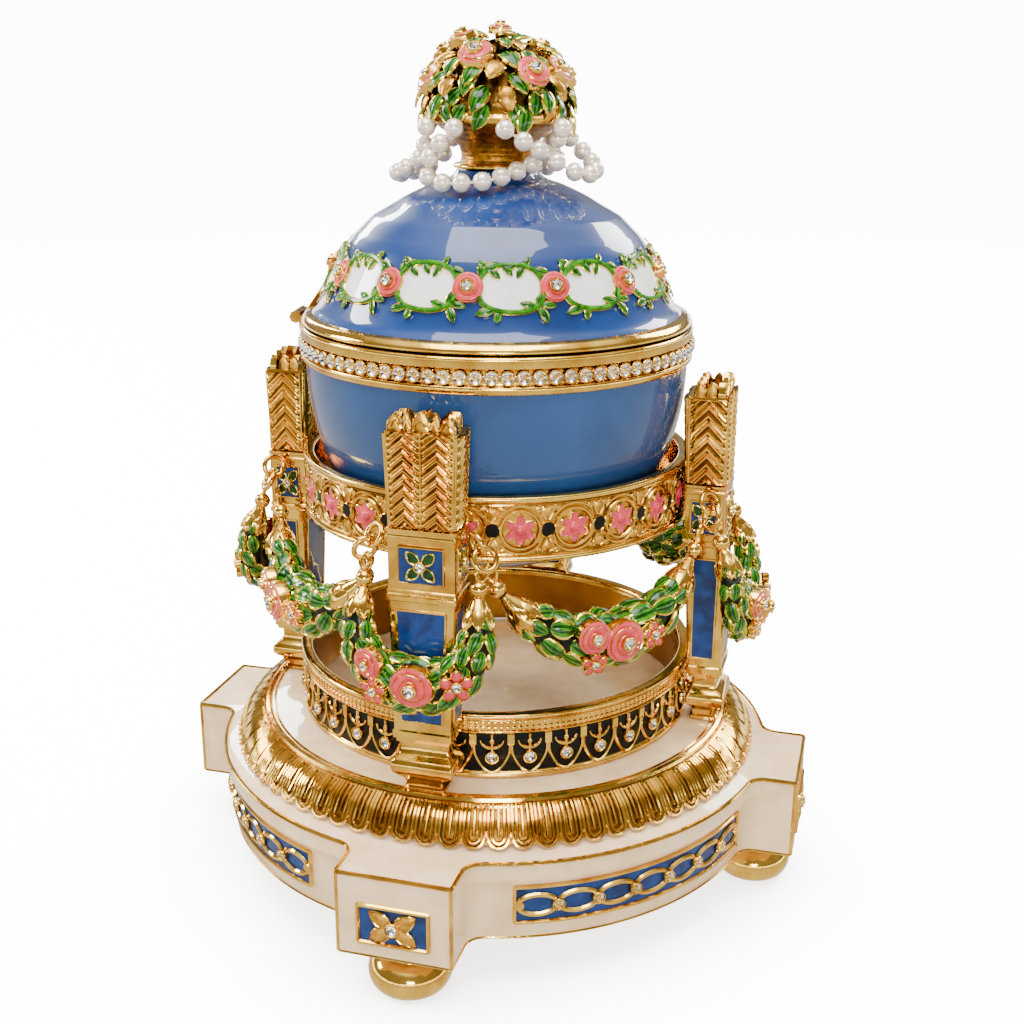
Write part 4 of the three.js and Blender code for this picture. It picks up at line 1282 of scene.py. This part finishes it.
for polar, up, radius in ((264, 42, 3.5), (316, 26, 3.5), (350, 28, 3.1), (214, 21, 3.3), (10, 24, 2.8),
                          (210, 62, 3.1), (300, 82, 2.4), (45, 48, 3.1), (70, 22, 3.3), (110, 40, 3.3),
                          (150, 22, 3.1), (180, 44, 2.9)):
    a = radians(polar)
    out = outward(a, radians(up))
    facing = unit(out + (0.0, 0.0, 0.35))
    across = np.array([-sin(a), cos(a), 0.0])
    place = on_flat(heart + out * (15.1, 15.1, 14.6), across, np.cross(facing, across))
    bouquet += laid(rose(radius, 0.9, turns=2.0, gem=0.34), place)
piece("bouquet_enamelled", bouquet, "lid", ["bouquet"])

# %% [markdown]
# ## Pearl strings
# Four short strings of pearls hang from the basket's rim. The pearls touch, with the thread between them.

# %% String the pearls
routes = {
    "front": [(-8.2, 14.4, 39.1), (-11.3, 13.2, 35.8), (-13.6, 10.8, 32.2), (-13.2, 11.6, 29.4),
              (-9.9, 14.4, 28.8), (-6, 15.8, 29), (-1.8, 15.9, 29.4), (2, 13.6, 30.4),
              (5, 10.8, 31.4), (8.3, 8.2, 32.9), (11.5, 6.4, 36), (12.6, 10.7, 39.1)],
    "right": [(1.6, 16.6, 39), (5.4, 15.6, 36.6), (9, 13, 34.6), (12.6, 12.4, 32.2), (16, 11, 30.6),
              (19, 7.8, 30.3), (19.7, 3.9, 31), (18.8, 0, 32.6), (16.6, -3.6, 34.9), (14.6, -5.4, 37),
              (14.4, -8.2, 39.1)],
    "left": [(-13.8, 9.2, 39.1), (-14.2, 7.6, 35.6), (-15.4, 5.4, 33), (-18.2, 3.2, 31),
             (-20.3, -0.2, 29.8), (-19.6, -4.4, 29.3), (-16.6, -7.6, 29.8), (-12.8, -9.4, 31.6),
             (-10, -11.2, 35), (-8.5, -14.2, 39.1)],
    "back": [(-3.2, -16.4, 39.1), (-1.4, -15.4, 35.4), (1.2, -15, 31.8), (5, -15.4, 29.8),
             (9.4, -13.4, 29.8), (12.2, -10.6, 31.8), (11.4, -11.6, 35.4), (9.5, -13.7, 39.1)]}
thread_radius = 0.28
pearl_radius = 1.85
pearl_pitch = 4.1
facing_turn = radians(15.5)
cosine = cos(facing_turn)
sine = sin(facing_turn)
for name, route in routes.items():
    line = smooth_line([(x * cosine + y * sine, x * sine - y * cosine, z) for x, y, z in route], 400)
    run = run_along(line)
    count = round(run[-1] / pearl_pitch)
    string = wire(line[::8], thread_radius, "cotton_thread")
    for k in range(count + 1):
        where = [np.interp(run[-1] * k / count, run, line[:, i]) for i in range(3)]
        string += ball(where, pearl_radius, "pearl_lustre", 20)
    piece("pearl_string_" + name, string, "lid", ["pearls_" + name])
    print(name, "string:", count + 1, "pearls,", round(run[-1], 1), "mm long")

# %% [markdown]
# ## The hinge
# The hinge's halves keep their solid shapes, because they are plain turned work, and only get a gold
# finish.

# %% Gild the hinge and finish
for node_name in ("hinge_bowl_half", "hinge_lid_half"):
    hinge_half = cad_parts[node_name]
    hinge_half.data.materials.clear()
    hinge_half.data.materials.append(finishes["polished_gold"])
